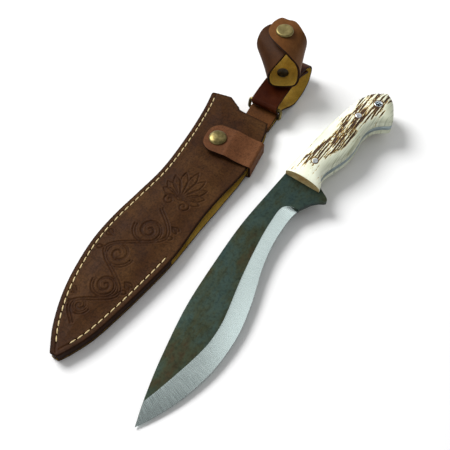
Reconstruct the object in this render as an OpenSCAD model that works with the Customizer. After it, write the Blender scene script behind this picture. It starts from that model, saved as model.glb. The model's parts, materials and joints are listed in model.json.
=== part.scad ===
// Kukri-pattern knife with stag scales, lying beside its own leather belt sheath.
// Units are millimetres. X runs along the sheath from its toe to its throat, Z is up from the table.

/* [Blade] */
// Length from the tip to the front of the scales
blade_l = 244; // [220:1:265]
// Width of the blade across its belly
blade_w = 44; // [40:0.5:47]
// Thickness of the blade and of the full tang
steel_t = 5; // [4:0.25:6]
// Thickness left along the ground edge
edge_t = 0.6; // [0.4:0.1:1.2]
// Drop of the finger guard below the blade's axis
guard_drop = 23.5; // [21:0.5:26]

/* [Handle] */
// Length of the handle
handle_l = 123; // [112:1:135]
// Width of the handle at its front
handle_w = 34; // [31:0.5:37]
// Height of a scale at its crown
scale_t = 10.5; // [9:0.25:12]
// Height of a scale along its rim
scale_rim = 4.5; // [3.5:0.25:5.5]
// Diameter of the two handle pins
pin_d = 5.75; // [4.5:0.25:6.5]
// Outside diameter of the lanyard tube
tube_d = 7.5; // [6.5:0.25:8.5]
// Bore of the lanyard tube
tube_bore = 5.25; // [4:0.25:5.75]

/* [Sheath] */
// Room left in the sheath beyond the tip
toe_room = 33; // [28:1:38]
// Width of the sheath
sheath_w = 66; // [62:0.5:72]
// Thickness of the front and back panels
leather_t = 2.4; // [2:0.1:3]
// Room between the blade and the two panels
blade_room = 1; // [0.8:0.1:1.8]
// Width of the sewn welts
welt_w = 9; // [7.5:0.5:11]
// Distance of the seams from the edge
seam_in = 4.5; // [3.5:0.25:5.5]
// Length of one stitch with its gap
stitch_pitch = 6.5; // [5:0.25:8]
// Width of the sewing thread
thread_w = 1.2; // [0.8:0.1:1.6]

/* [Straps] */
// Thickness of the straps
strap_t = 2.2; // [1.9:0.1:2.6]
// Width of the closure strap
closure_w = 30; // [26:0.5:33]
// Reach of the closure strap over the front panel
closure_reach = 47; // [44:0.5:50]
// Width of the hanger tab
tab_w = 27; // [24:0.5:28]
// Distance from the throat to the ring bar in the tab
tab_reach = 14; // [12:0.25:16]
// Width of the belt loop
loop_w = 26; // [23:0.5:27]
// Length of the belt loop beyond the ring
loop_l = 65; // [60:0.5:70]
// Width of the handle keeper
keeper_w = 28; // [25:0.5:31]
// Height of the handle keeper
keeper_h = 38; // [36:0.5:42]
// Turn of the handle keeper about its rivet
keeper_turn = 31; // [20:1:40]

/* [Hardware] */
// Diameter of the snap caps
cap_d = 16; // [14:0.25:17]
// Height of the snap caps
cap_h = 3.2; // [2.5:0.1:4]
// Diameter of the ring wire
wire_d = 3; // [2.5:0.1:3.3]
// Distance between the two bars of the ring
ring_span = 9.6; // [9:0.1:11]
// Diameter of the rivet shanks
rivet_d = 3.5; // [3:0.1:4]
// Diameter of the keeper rivet's head
head_d = 11; // [9:0.25:12]

/* [Hidden] */
// Gap round pieces that turn, and the fit of pieces pressed or riveted together
swing_gap = 0.3;
pin_fit = 0.05;

// Places of the sheath's throat and of the knife's scale front on the table
sheath_at = [101, 32.5];
knife_at = [57, -44.5];
knife_turn = -5;

// Blade and handle outlines as shares of their length and width, from the scale front
spine_form = [[0, 0.47], [-0.1, 0.485], [-0.25, 0.5], [-0.4, 0.445], [-0.6, 0.32],
  [-0.78, 0.09], [-0.9, -0.11], [-1, -0.31]];
edge_form = [[-1, -0.31], [-0.95, -0.45], [-0.87, -0.62], [-0.78, -0.74], [-0.69, -0.785],
  [-0.58, -0.74], [-0.47, -0.58], [-0.36, -0.36], [-0.26, -0.22], [-0.15, -0.17], [-0.09, -0.21]];
grind_form = [[-1.06, 0.04], [-1, -0.05], [-0.93, -0.165], [-0.82, -0.305], [-0.7, -0.42],
  [-0.63, -0.425], [-0.56, -0.365], [-0.42, -0.155], [-0.27, 0.02], [-0.17, 0.09], [-0.13, 0.09],
  [-0.113, 0.04], [-0.104, -0.04], [-0.1, -0.13]];
guard_form = [[-12, -0.61], [-7.5, -0.79], [-5, -0.95], [-3.3, -1], [-1.5, -0.97], [0.5, -0.86],
  [2.5, -0.7], [4.5, -0.55]];
back_form = [[0, 0.6], [0.13, 0.58], [0.3, 0.53], [0.47, 0.485], [0.63, 0.42], [0.79, 0.325],
  [0.86, 0.25], [0.905, 0.175], [0.94, 0.08], [0.97, -0.04], [0.99, -0.15], [1, -0.27]];
belly_form = [[0, -0.4], [0.035, -0.37], [0.09, -0.25], [0.16, -0.23], [0.24, -0.31], [0.33, -0.41],
  [0.42, -0.455], [0.51, -0.435], [0.58, -0.4], [0.65, -0.42], [0.71, -0.51], [0.75, -0.65],
  [0.79, -0.82], [0.84, -0.76], [0.885, -0.67], [0.94, -0.55], [0.98, -0.41], [1, -0.27]];

// Places of the pins and of the lanyard tube as shares of the handle
front_pin_at = [0.16 * handle_l, 0.12 * handle_w];
middle_pin_at = [0.675 * handle_l, -0.03 * handle_w];
tube_at = [0.85 * handle_l, -0.26 * handle_w];

// Sheath outline as shares of its length and width, from the middle of the throat
sheath_l = blade_l + toe_room;
sheath_spine_form = [[0.018, 0.73], [-0.06, 0.665], [-0.18, 0.61], [-0.325, 0.59], [-0.445, 0.65],
  [-0.55, 0.71], [-0.65, 0.725], [-0.755, 0.67], [-0.845, 0.575], [-0.93, 0.425], [-0.985, 0.28],
  [-1, 0.235]];
sheath_edge_form = [[-1, 0.14], [-0.965, 0.06], [-0.9, -0.05], [-0.81, -0.135], [-0.71, -0.21],
  [-0.59, -0.28], [-0.45, -0.31], [-0.32, -0.35], [-0.205, -0.37], [-0.07, -0.31], [0, -0.225]];
throat_form = [[0.003, 0.2], [0.012, 0.27], [0.034, 0.43], [0.036, 0.48], [0.025, 0.7]];
open_from = -0.585 * sheath_l;
sheath_spine = smooth(sized(sheath_spine_form, sheath_l, sheath_w), 5);
sheath_edge = smooth(sized(sheath_edge_form, sheath_l, sheath_w), 5);
spine_seam = inset(sheath_spine, seam_in);
edge_seam = inset(from_to(sheath_edge, -0.99 * sheath_l, open_from), seam_in);
sheath_outline = concat(sheath_spine, sheath_edge, smooth(sized(throat_form, sheath_l, sheath_w), 3));

// Layers of the sheath, from the back panel's outside upwards
welt_t = steel_t + blade_room;
front_z = leather_t + welt_t;
sheath_t = front_z + leather_t;
thread_h = thread_w / 2;

// Snap fasteners: the cap and socket on a flap, the stud and post on the leather under it
socket_r = 6;
socket_h = 3.1;
socket_roof = 0.8;
socket_bore = 4.4;
barrel_r = 2;
roll_r = 3.2;
roll_h = 0.5;
spring_r = 3.75;
spring_wire = 0.4;
stud_r = 5.2;
stud_t = 0.6;
nipple_r = 3;
nipple_waist = 0.3;
post_r = 5.5;
post_t = 0.7;
snap_lift = stud_t + swing_gap + socket_h;
head_h = 0.8;
burr_d = 0.8 * head_d;

// Closure strap: square to the sheath's edge where it goes round it
closure_x = -0.139 * sheath_l;
closure_y = edge_y(closure_x);
closure_half = closure_w / 2;
closure_angle = atan2(edge_y(closure_x + closure_half) - edge_y(closure_x - closure_half), closure_w);
snap_in = 11.5;
closure_snap = closure_reach - snap_in;
closure_wall = -1 - strap_t / 2;
closure_tail = 38;
closure_corner = 2;
flap_z = sheath_t + snap_lift + strap_t / 2;
bend_z = sheath_t + swing_gap + strap_t / 2;
end_r = 12;
closure_rivets = [12, 28];

// Lean of the sheath, which rests on the closure strap and on the toe
strap_toe = closure_half + closure_tail * sin(closure_angle);
lean = asin(strap_t / (sheath_l + closure_x - strap_toe));
sheath_z = sheath_l * sin(lean);

// Hanger: the tab's eye, the ring and the belt loop's eye
hang_y = -3.3;
eye_path = wire_d / 2 + swing_gap;
tab_eye = [tab_reach, leather_t + eye_path];
tab_tuck = 26;
tab_root = 20;
tab_rivet_x = -16;
tab_rivet_y = 8;
bar_x = tab_eye[0] * cos(lean) - tab_eye[1] * sin(lean);
bar_z = sheath_z + tab_eye[1] * cos(lean) + tab_eye[0] * sin(lean);
loop_drop = 14.2;
loop_z = loop_drop + strap_t;
ring_rise = asin((loop_z - bar_z) / ring_span);
loop_x = bar_x + ring_span * cos(ring_rise);
loop_skew = 0.28;
loop_spread = 2 * loop_skew * (eye_path + strap_t);
ring_play = 0.4;
ring_half = max(tab_w, loop_w + loop_spread) / 2 + ring_play + wire_d / 2;
ring_corner = 2.3;
loop_layer = strap_t + 0.4;
loop_top = 3.6;
rivet_x = 0.522 * loop_l;

// Handle keeper: a strap that turns on its rivet, whose two arms rise and cross on top
keeper_at = [loop_x + rivet_x, hang_y + loop_skew * (loop_top + loop_layer)];
keeper_z = loop_z + loop_top + loop_layer + strap_t / 2 + swing_gap;
outer_z = keeper_h - strap_t / 2;
inner_z = outer_z - strap_t - snap_lift;
keeper_snap_x = 0.59 * keeper_w;

// Front and rear edge of the keeper from its inner end to its outer end: shares of its width and height
keeper_front_form = [[0.21, -0.3, 0.826], [0.07, -0.16, 0.82], [-0.07, -0.02, 0.76], [-0.2, 0.13, 0.67],
  [-0.3, 0.29, 0.55], [-0.375, 0.43, 0.42], [-0.43, 0.5, 0.27], [-0.5, 0.46, 0.12], [-0.55, 0.32, 0.044],
  [-0.57, 0, 0.03], [-0.55, -0.32, 0.044], [-0.5, -0.44, 0.12], [-0.43, -0.48, 0.27],
  [-0.37, -0.46, 0.46], [-0.33, -0.365, 0.63], [-0.34, -0.22, 0.785], [-0.24, 0, 0.945], [0.02, 0.25, 1],
  [0.34, 0.46, 1], [0.57, 0.59, 0.995]];
keeper_rear_form = [[1.13, -0.11, 0.826], [1.18, 0.15, 0.826], [1.18, 0.45, 0.82], [1.02, 0.69, 0.775],
  [0.8, 0.82, 0.68], [0.66, 0.84, 0.52], [0.58, 0.74, 0.325], [0.63, 0.535, 0.15], [0.74, 0.32, 0.05],
  [0.77, 0, 0.03], [0.74, -0.32, 0.05], [0.63, -0.535, 0.15], [0.54, -0.66, 0.325], [0.545, -0.71, 0.52],
  [0.61, -0.72, 0.71], [0.73, -0.62, 0.88], [1.035, -0.39, 0.995], [1.14, -0.14, 1], [1.24, 0.07, 1],
  [1.19, 0.29, 0.995]];
keeper_bend = 14;
keeper_steps = 4;
keeper_hinge = [for (p = [keeper_front_form, keeper_rear_form]) keeper_sized(p)[keeper_bend]];

// Knife pose: it rests on the front of the lower scale and where the ground edge meets the spine
rest_x = 0.93 * blade_l;
knife_lean = atan2(scale_t, rest_x);
knife_z = (scale_t + steel_t / 2) * cos(knife_lean);
pin_proud = 0.2;
pin_chamfer = 0.6;

// Curves: a smooth line through points, its normals, an inset copy and a strip of even thickness
function blend(a, b, c, d, t) =
  (2 * b + (c - a) * t + (2 * a - 5 * b + 4 * c - d) * t * t + (3 * b - a - 3 * c + d) * t * t * t) / 2;
function smooth(p, n) = concat(
  [for (i = [0 : len(p) - 2], j = [0 : n - 1])
    blend(p[max(i - 1, 0)], p[i], p[i + 1], p[min(i + 2, len(p) - 1)], j / n)],
  [p[len(p) - 1]]);
function sized(p, l, w) = [for (q = p) [q[0] * l, q[1] * w]];
function normal(p, i) =
  let (d = p[min(i + 1, len(p) - 1)] - p[max(i - 1, 0)])
  [-d[1], d[0]] / norm(d);
function inset(p, d) = [for (i = [0 : len(p) - 1]) p[i] + d * normal(p, i)];
function turned(p) = [for (i = [len(p) - 1 : -1 : 0]) p[i]];
function ribbon(p, t) = concat(inset(p, t / 2), turned(inset(p, -t / 2)));
function knuckle(p, t) =
  let (n = normal(p, 0), a = atan2(n[1], n[0]))
  arc(p[0], t / 2, a + 170, a + 10, 8);
function arc(c, r, a, b, n) = [for (i = [0 : n]) let (t = a + (b - a) * i / n) c + r * [cos(t), sin(t)]];
function step_at(p, i) = i + 1 < len(p) ? norm(p[i + 1] - p[i]) : 0;
function run(p) = [for (i = 0, s = 0; i < len(p); s = s + step_at(p, i), i = i + 1) s];
function along(p, r, s) = [
  lookup(s, [for (i = [0 : len(p) - 1]) [r[i], p[i][0]]]),
  lookup(s, [for (i = [0 : len(p) - 1]) [r[i], p[i][1]]])];
function from_to(p, a, b) = [for (q = p) if (q[0] >= a && q[0] <= b) q];
function edge_y(x) = lookup(x, sheath_edge);

// Knife outlines
blade_spine = smooth(sized(spine_form, blade_l, blade_w), 5);
blade_edge = smooth(sized(edge_form, blade_l, blade_w), 4);
grind_line = smooth(sized(grind_form, blade_l, blade_w), 4);
handle_back = smooth(sized(back_form, handle_l, handle_w), 4);
handle_belly = smooth(sized(belly_form, handle_l, handle_w), 3);
guard_edge = smooth(sized(guard_form, 1, guard_drop), 3);
tang_belly = from_to(handle_belly, 0.06 * handle_l, handle_l);
tang_back = from_to(handle_back, 0.01 * handle_l, 0.999 * handle_l);
steel_outline = concat(blade_spine, blade_edge, guard_edge, tang_belly, turned(tang_back));

// Height of a scale above the tang at a place on the handle
function scale_h(x, y) =
  let (a = lookup(x, handle_belly), b = lookup(x, handle_back), u = (2 * y - a - b) / max(b - a, 0.01),
    late = max(0, x / handle_l - 0.75) / 0.25, tail = max(0, x / handle_l - 0.9) / 0.1)
  (scale_rim + (scale_t - scale_rim) * (1 - 0.2 * late * late) * pow(max(0, 1 - u * u), 0.6))
    * (1 - 0.35 * tail * tail);

// A skin over sections that all have the same number of points
module loft(rows) {
  n = len(rows[0]);
  last = len(rows) - 1;
  sides = [for (i = [0 : last - 1], j = [0 : n - 1])
    let (a = i * n + j, b = i * n + (j + 1) % n, c = b + n, d = a + n)
    each [[a, b, c], [a, c, d]]];
  ends = [[for (j = [n - 1 : -1 : 0]) j], [for (j = [0 : n - 1]) last * n + j]];
  polyhedron(points = [for (r = rows) each r], faces = concat(sides, ends), convexity = 8);
}

// A strap seen edge on in the XZ plane, or in the YZ plane
module strip_xz(p, t, w) {
  rotate([90, 0, 0]) linear_extrude(height = w, center = true) polygon(ribbon(p, t));
}

module strip_yz(p, t, w) {
  rotate([90, 0, 90]) linear_extrude(height = w, center = true) polygon(ribbon(p, t));
}

// Poses
module knife_pose() {
  translate([knife_at[0], knife_at[1], knife_z]) rotate([0, 0, knife_turn])
    rotate([0, -knife_lean, 0]) children();
}

module sheath_pose() {
  translate([sheath_at[0], sheath_at[1], sheath_z]) rotate([0, -lean, 0]) children();
}

module closure_pose() {
  sheath_pose() translate([closure_x, closure_y, 0]) rotate(closure_angle) children();
}

module closure_snap_pose() {
  closure_pose() translate([0, closure_snap, flap_z - strap_t / 2]) children();
}

module loop_pose() {
  translate([sheath_at[0] + loop_x, sheath_at[1] + hang_y, loop_z]) children();
}

module keeper_pose() {
  translate([sheath_at[0] + keeper_at[0], sheath_at[1] + keeper_at[1], keeper_z])
    rotate(keeper_turn) children();
}

module keeper_snap_pose() {
  keeper_pose() translate([keeper_snap_x, 0, outer_z - strap_t / 2]) children();
}

// Knife
module handle_bores(d) {
  for (p = [front_pin_at, middle_pin_at]) translate(p)
    cylinder(d = pin_d + 2 * pin_fit, h = d, center = true);
  translate(tube_at) cylinder(d = tube_d + 2 * pin_fit, h = d, center = true);
}

module bevel() {
  over = 1.5;
  out = 4;
  steps = 56;
  tip_x = -1.03 * blade_l;
  heel_x = -0.1 * blade_l;
  loft([for (i = [0 : steps])
    let (x = tip_x + (heel_x - tip_x) * i / steps, g = lookup(x, grind_line), e = lookup(x, blade_edge),
      rise = (steel_t - edge_t) / 2 / (g - e), top = steel_t / 2 + over)
    [[x, e - out, edge_t / 2 - out * rise], [x, e - out, top], [x, g + over / rise, top]]]);
}

module blade() {
  color("slategray") knife_pose() difference() {
    linear_extrude(height = steel_t, center = true) polygon(steel_outline);
    bevel();
    mirror([0, 0, 1]) bevel();
    handle_bores(2 * steel_t);
  }
}

module scale() {
  steps = 40;
  across = 14;
  difference() {
    loft([for (i = [0 : steps])
      let (x = handle_l * 0.998 * (1 - pow(1 - i / steps, 1.6)),
        a = lookup(x, handle_belly), b = lookup(x, handle_back))
      concat([[x, a, 0]],
        [for (j = [0 : across])
          let (y = a + (b - a) * (1 - cos(180 * j / across)) / 2)
          [x, y, scale_h(x, y)]],
        [[x, b, 0]])]);
    handle_bores(4 * scale_t);
  }
}

module upper_scale() {
  color("ivory") knife_pose() translate([0, 0, steel_t / 2]) scale();
}

module lower_scale() {
  color("ivory") knife_pose() mirror([0, 0, 1]) translate([0, 0, steel_t / 2]) scale();
}

module pin(p) {
  r = pin_d / 2;
  h = steel_t / 2 + scale_h(p[0], p[1]) + pin_proud;
  translate(p) rotate_extrude() polygon([[0, -h], [r - pin_chamfer, -h], [r, pin_chamfer - h],
    [r, h - pin_chamfer], [r - pin_chamfer, h], [0, h]]);
}

module front_pin() {
  color("silver") knife_pose() pin(front_pin_at);
}

module middle_pin() {
  color("silver") knife_pose() pin(middle_pin_at);
}

module lanyard_tube() {
  h = steel_t + 2 * scale_h(tube_at[0], tube_at[1]) + 2 * pin_proud;
  color("silver") knife_pose() translate(tube_at) difference() {
    cylinder(d = tube_d, h = h, center = true);
    cylinder(d = tube_bore, h = h + 2, center = true);
  }
}

// Sheath body
module front_panel() {
  color("saddlebrown") difference() {
    sheath_pose() translate([0, 0, front_z]) linear_extrude(height = leather_t) polygon(sheath_outline);
    closure_snap_pose() cylinder(r = barrel_r + pin_fit, h = 8 * leather_t, center = true);
  }
}

module back_panel() {
  eye_r = eye_path + leather_t / 2;
  tuck_z = leather_t * 1.5;
  rise = smooth([[-tab_tuck, tuck_z], [-tab_tuck / 2, tuck_z], [-4, tuck_z], [1, tuck_z + 0.7],
    [tab_reach - 4, tab_eye[1] + eye_r - 0.8]], 4);
  color("sienna") difference() {
    sheath_pose() {
      linear_extrude(height = leather_t) union() {
        polygon(sheath_outline);
        translate([-tab_root, hang_y - tab_w / 2]) square([tab_root + tab_reach, tab_w]);
      }
      translate([0, hang_y, 0]) strip_xz(concat(rise, arc(tab_eye, eye_r, 90, -90, 12)), leather_t, tab_w);
    }
    sheath_pose() for (seam = [spine_seam, edge_seam]) translate([0, 0, -1])
      linear_extrude(height = 1 + thread_h) polygon(ribbon(seam, thread_w + 2 * pin_fit));
    tab_rivet_places() bored_rivet(2 * leather_t);
    closure_pose() for (q = closure_rivets) translate([0, q, -strap_t]) bored_rivet(strap_t + leather_t);
  }
}

module spine_strip() {
  polygon(concat(sheath_spine, turned(inset(sheath_spine, welt_w))));
}

module spine_welt() {
  color("peru") sheath_pose() translate([0, 0, leather_t]) linear_extrude(height = welt_t) intersection() {
    spine_strip();
    polygon(sheath_outline);
  }
}

module edge_welt() {
  sewn = from_to(sheath_edge, -sheath_l, open_from);
  color("peru") sheath_pose() translate([0, 0, leather_t]) linear_extrude(height = welt_t) difference() {
    intersection() {
      polygon(concat(sewn, turned(inset(sewn, welt_w))));
      polygon(sheath_outline);
    }
    spine_strip();
  }
}

// A row of stitches on the front and in the back panel's groove, between two run lengths of a line
module stitches(p, s_from, s_to) {
  r = run(p);
  n = round((s_to - s_from) / stitch_pitch);
  step = (s_to - s_from) / n;
  hole = 0.8;
  for (i = [0 : n - 1]) {
    a = along(p, r, s_from + i * step);
    b = along(p, r, s_from + (i + 1) * step);
    l = norm(b - a) - hole;
    translate((a + b) / 2) rotate(atan2(b[1] - a[1], b[0] - a[0])) {
      translate([0, 0, sheath_t]) stitch(l);
      stitch(l);
    }
  }
}

module stitch(l) {
  w = thread_w / 2;
  rotate([90, 0, 90]) linear_extrude(height = l, center = true)
    polygon([[-w, 0], [-0.7 * w, 0.75 * thread_h], [0, thread_h], [0.7 * w, 0.75 * thread_h], [w, 0]]);
}

module spine_stitching() {
  r = run(spine_seam);
  color("wheat") sheath_pose() stitches(spine_seam, seam_in, r[len(r) - 1] - 1.6 * seam_in);
}

module edge_stitching() {
  r = run(edge_seam);
  color("wheat") sheath_pose() stitches(edge_seam, 1.8 * seam_in, r[len(r) - 1] - 0.2 * seam_in);
}

// Closure strap and its snap
module closure_strap() {
  top = bend_z - strap_t / 2 - swing_gap;
  bend = [closure_wall + closure_corner, closure_corner - strap_t / 2];
  corner = arc(bend, closure_corner, 270, 180, 6);
  path = concat([[closure_tail, -strap_t / 2]], corner, [[closure_wall, top]]);
  color("peru") difference() {
    closure_pose() strip_yz(path, strap_t, closure_w);
    closure_pose() for (q = closure_rivets) translate([0, q, -strap_t]) bored_rivet(strap_t + leather_t);
  }
}

module closure_rivets() {
  color("darkgoldenrod") closure_pose() for (q = closure_rivets)
    translate([0, q, -strap_t]) rivet(strap_t + leather_t);
}

module closure_flap() {
  w = closure_w / 2;
  e = closure_reach - end_r;
  low = closure_wall - strap_t;
  level = closure_snap - cap_d / 2;
  path = smooth([[closure_wall, bend_z], [0.15 * level, bend_z], [0.45 * level, (2 * bend_z + flap_z) / 3],
    [0.8 * level, flap_z], [level, flap_z], [closure_reach, flap_z]], 4);
  color("peru") closure_pose() difference() {
    intersection() {
      rotate([90, 0, 90]) linear_extrude(height = closure_w, center = true)
        polygon(concat(ribbon(path, strap_t), knuckle(path, strap_t)));
      linear_extrude(height = 2 * flap_z) polygon(concat([[-w, low], [w, low]],
        arc([w - end_r, e], end_r, 0, 90, 8), arc([end_r - w, e], end_r, 90, 180, 8)));
    }
    translate([0, closure_snap, flap_z]) cylinder(r = barrel_r + pin_fit, h = 3 * strap_t, center = true);
  }
}

// Snap pieces, with the flap's underside at z = 0
module snap_cap() {
  r = cap_d / 2;
  rim = 0.6;
  top = strap_t + cap_h;
  floor = socket_roof + roll_h;
  rotate_extrude() polygon(concat([[0, -floor], [roll_r, -floor], [roll_r, -socket_roof],
    [barrel_r, -socket_roof], [barrel_r, strap_t], [r, strap_t], [r, strap_t + rim]],
    [for (a = [10 : 10 : 90]) [r * cos(a), strap_t + rim + (cap_h - rim) * sin(a)]]));
}

module snap_socket() {
  translate([0, 0, -socket_h]) difference() {
    cylinder(r = socket_r, h = socket_h);
    translate([0, 0, -1]) cylinder(r = socket_bore, h = socket_h - socket_roof + 1);
    cylinder(r = barrel_r + pin_fit, h = 2 * socket_h);
  }
}

module snap_spring() {
  translate([0, 0, 2.5 * spring_wire - socket_h]) rotate_extrude()
    translate([spring_r, 0]) circle(r = spring_wire);
}

module snap_stud() {
  top = socket_roof + roll_h + swing_gap;
  bore = barrel_r + pin_fit;
  waist = nipple_r - nipple_waist;
  rotate_extrude() polygon([[bore, -snap_lift], [stud_r, -snap_lift], [stud_r, stud_t - snap_lift],
    [waist, stud_t - snap_lift], [nipple_r, -top - 2 * nipple_waist], [waist, -top], [bore, -top]]);
}

module snap_post(t) {
  top = socket_roof + roll_h + swing_gap;
  translate([0, 0, -snap_lift - t - post_t]) cylinder(r = post_r, h = post_t);
  translate([0, 0, -snap_lift - t - post_t]) cylinder(r = barrel_r, h = snap_lift + t + post_t - top);
}

module closure_cap() {
  color("darkgoldenrod") closure_snap_pose() snap_cap();
}

module closure_socket() {
  color("darkgoldenrod") closure_snap_pose() snap_socket();
}

module closure_spring() {
  color("silver") closure_snap_pose() snap_spring();
}

module closure_stud() {
  color("darkgoldenrod") closure_snap_pose() snap_stud();
}

module closure_post() {
  color("darkgoldenrod") closure_snap_pose() snap_post(leather_t);
}

// A flat rivet through leather of thickness t: its lower head is let in, its upper head stands on top
module rivet(t) {
  cylinder(d = 2 * rivet_d, h = head_h);
  cylinder(d = rivet_d, h = t + head_h);
  translate([0, 0, t]) cylinder(d = 2 * rivet_d, h = head_h);
}

module bored_rivet(t) {
  translate([0, 0, -1]) cylinder(d = 2 * (rivet_d + pin_fit), h = head_h + 1);
  cylinder(d = rivet_d + 2 * pin_fit, h = t + head_h);
}

// Hanger
module tab_rivet_places() {
  sheath_pose() for (s = [-1, 1]) translate([tab_rivet_x, hang_y + s * tab_rivet_y, 0]) children();
}

module tab_rivets() {
  color("darkgoldenrod") tab_rivet_places() rivet(2 * leather_t);
}

module hanger_ring() {
  c = ring_corner;
  side = ring_half - c;
  end = ring_span / 2 - c;
  color("darkgoldenrod") translate([sheath_at[0] + bar_x, sheath_at[1] + hang_y, bar_z])
    rotate([0, -ring_rise, 0]) translate([ring_span / 2, 0, 0]) for (s = [0, 1]) rotate(180 * s) {
      translate([ring_span / 2, 0, 0]) rotate([90, 0, 0]) cylinder(d = wire_d, h = 2 * side, center = true);
      translate([0, ring_half, 0]) rotate([0, 90, 0]) cylinder(d = wire_d, h = 2 * end, center = true);
      for (t = [0, 1]) mirror([0, t, 0]) translate([end, side, 0])
        rotate_extrude(angle = 90) translate([c, 0]) circle(d = wire_d);
    }
}

module belt_loop() {
  l = loop_l;
  eye_r = eye_path + strap_t / 2;
  eye_turn = [75, 282];
  far = loop_z - strap_t / 2;
  top = loop_top;
  front = smooth([[0.9 * l, -0.6 * top], [0.71 * l, 0.6 * top], [rivet_x, top], [0.33 * l, 1.1 * top],
    [0.15 * l, top]], 5);
  back = smooth([[0.17 * l, 0.55 - 0.52 * far], [0.38 * l, -0.92 * far], [0.6 * l, -0.985 * far],
    [0.83 * l, -0.8 * far], [0.96 * l, -0.45 * far], [l, -0.2 * far], [0.96 * l, 0.2 * top],
    [0.86 * l, 0.9 * top], [0.71 * l, 0.6 * top + loop_layer], [rivet_x, top + loop_layer],
    [0.4 * l, 1.05 * top + loop_layer]], 5);
  color("sienna") loop_pose() difference() {
    intersection() {
      strip_xz(concat(front, arc([0, 0], eye_r, eye_turn[0], eye_turn[1], 16), back), strap_t, 3 * loop_w);
      rotate([90, 0, 90]) linear_extrude(height = 4 * l, center = true)
        polygon([for (p = [[-1, -1], [1, -1], [1, 1], [-1, 1]])
          [p[0] * loop_w / 2 + p[1] * 2 * loop_skew * loop_z, p[1] * 2 * loop_z]]);
    }
    translate([rivet_x, keeper_at[1] - hang_y, loop_top]) {
      cylinder(d = rivet_d + 2 * pin_fit, h = 8 * strap_t, center = true);
      translate([0, 0, -strap_t * 1.5]) cylinder(d = burr_d + 2 * pin_fit, h = strap_t);
    }
  }
}

// Handle keeper and its snap, with the underside of its base at z = 0
module keeper_rivet() {
  shank = keeper_z - loop_z - loop_top + strap_t * 1.5;
  color("dimgray") keeper_pose() {
    translate([0, 0, strap_t + swing_gap]) rotate_extrude()
      polygon([[0, 0], [head_d / 2, 0], [head_d / 2, 0.5], [head_d / 3, 1.3], [0, 1.7]]);
    translate([0, 0, strap_t + swing_gap + 0.2 - shank - head_h]) cylinder(d = rivet_d, h = shank + head_h);
  }
}

module keeper_burr() {
  under = keeper_z - loop_z - loop_top + strap_t / 2;
  color("dimgray") keeper_pose() translate([0, 0, -under - head_h]) difference() {
    cylinder(d = burr_d, h = head_h);
    translate([0, 0, -1]) cylinder(d = rivet_d + 2 * pin_fit, h = head_h + 2);
  }
}

// Bore of a snap through the strap, and the beds its two pieces press into the strap's faces
module snap_beds(over_r, under_r) {
  cylinder(r = barrel_r + pin_fit, h = 3 * strap_t, center = true);
  translate([0, 0, strap_t / 2]) cylinder(r = over_r + pin_fit, h = strap_t);
  translate([0, 0, -strap_t * 1.5]) cylinder(r = under_r + pin_fit, h = strap_t);
}

// The rows of the keeper strap, each with four corners round the strap's thickness
function keeper_sized(p) = [for (q = p) [q[0] * keeper_w, q[1] * keeper_w, q[2] * outer_z]];
function keeper_rows(a, b) =
  let (f = smooth(keeper_sized(keeper_front_form), keeper_steps),
    r = smooth(keeper_sized(keeper_rear_form), keeper_steps), last = len(f) - 1)
  [for (i = [a : b])
    let (run = f[min(i + 1, last)] + r[min(i + 1, last)] - f[max(i - 1, 0)] - r[max(i - 1, 0)],
      side = cross(run, r[i] - f[i]), out = side / norm(side) * strap_t / 2)
    [f[i] - out, f[i] + out, r[i] + out, r[i] - out]];

module keeper_strap() {
  color("saddlebrown") keeper_pose() difference() {
    loft(keeper_rows(0, keeper_bend * keeper_steps - 1));
    cylinder(d = rivet_d + 2 * swing_gap, h = 3 * strap_t, center = true);
    translate([keeper_snap_x, 0, inner_z]) snap_beds(stud_r, post_r);
  }
}

module keeper_flap() {
  end = (len(keeper_front_form) - 1) * keeper_steps;
  color("saddlebrown") keeper_pose() difference() {
    loft(keeper_rows(keeper_bend * keeper_steps, end));
    translate([keeper_snap_x, 0, outer_z]) snap_beds(cap_d / 2, socket_r);
  }
}

module keeper_cap() {
  color("darkgoldenrod") keeper_snap_pose() snap_cap();
}

module keeper_socket() {
  color("darkgoldenrod") keeper_snap_pose() snap_socket();
}

module keeper_spring() {
  color("silver") keeper_snap_pose() snap_spring();
}

module keeper_stud() {
  color("darkgoldenrod") keeper_snap_pose() snap_stud();
}

module keeper_post() {
  color("darkgoldenrod") keeper_snap_pose() snap_post(strap_t);
}

blade();
upper_scale();
lower_scale();
front_pin();
middle_pin();
lanyard_tube();
front_panel();
back_panel();
spine_welt();
edge_welt();
spine_stitching();
edge_stitching();
closure_strap();
closure_rivets();
closure_flap();
closure_cap();
closure_socket();
closure_spring();
closure_stud();
closure_post();
tab_rivets();
hanger_ring();
belt_loop();
keeper_rivet();
keeper_burr();
keeper_strap();
keeper_flap();
keeper_cap();
keeper_socket();
keeper_spring();
keeper_stud();
keeper_post();
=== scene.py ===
# %% [markdown]
# # A kukri-pattern knife beside its leather sheath
# The solids give the sizes, the places and the joints. This lesson dresses them: each leather,
# steel and antler piece is modelled again with the small forms that only show up close, and gets a
# finish made of shader nodes. The first step loads the solids.

# %% Load the solids
import json
import math
import bmesh
import bpy
import numpy as np
from mathutils import Matrix, Vector, kdtree, noise


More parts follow.
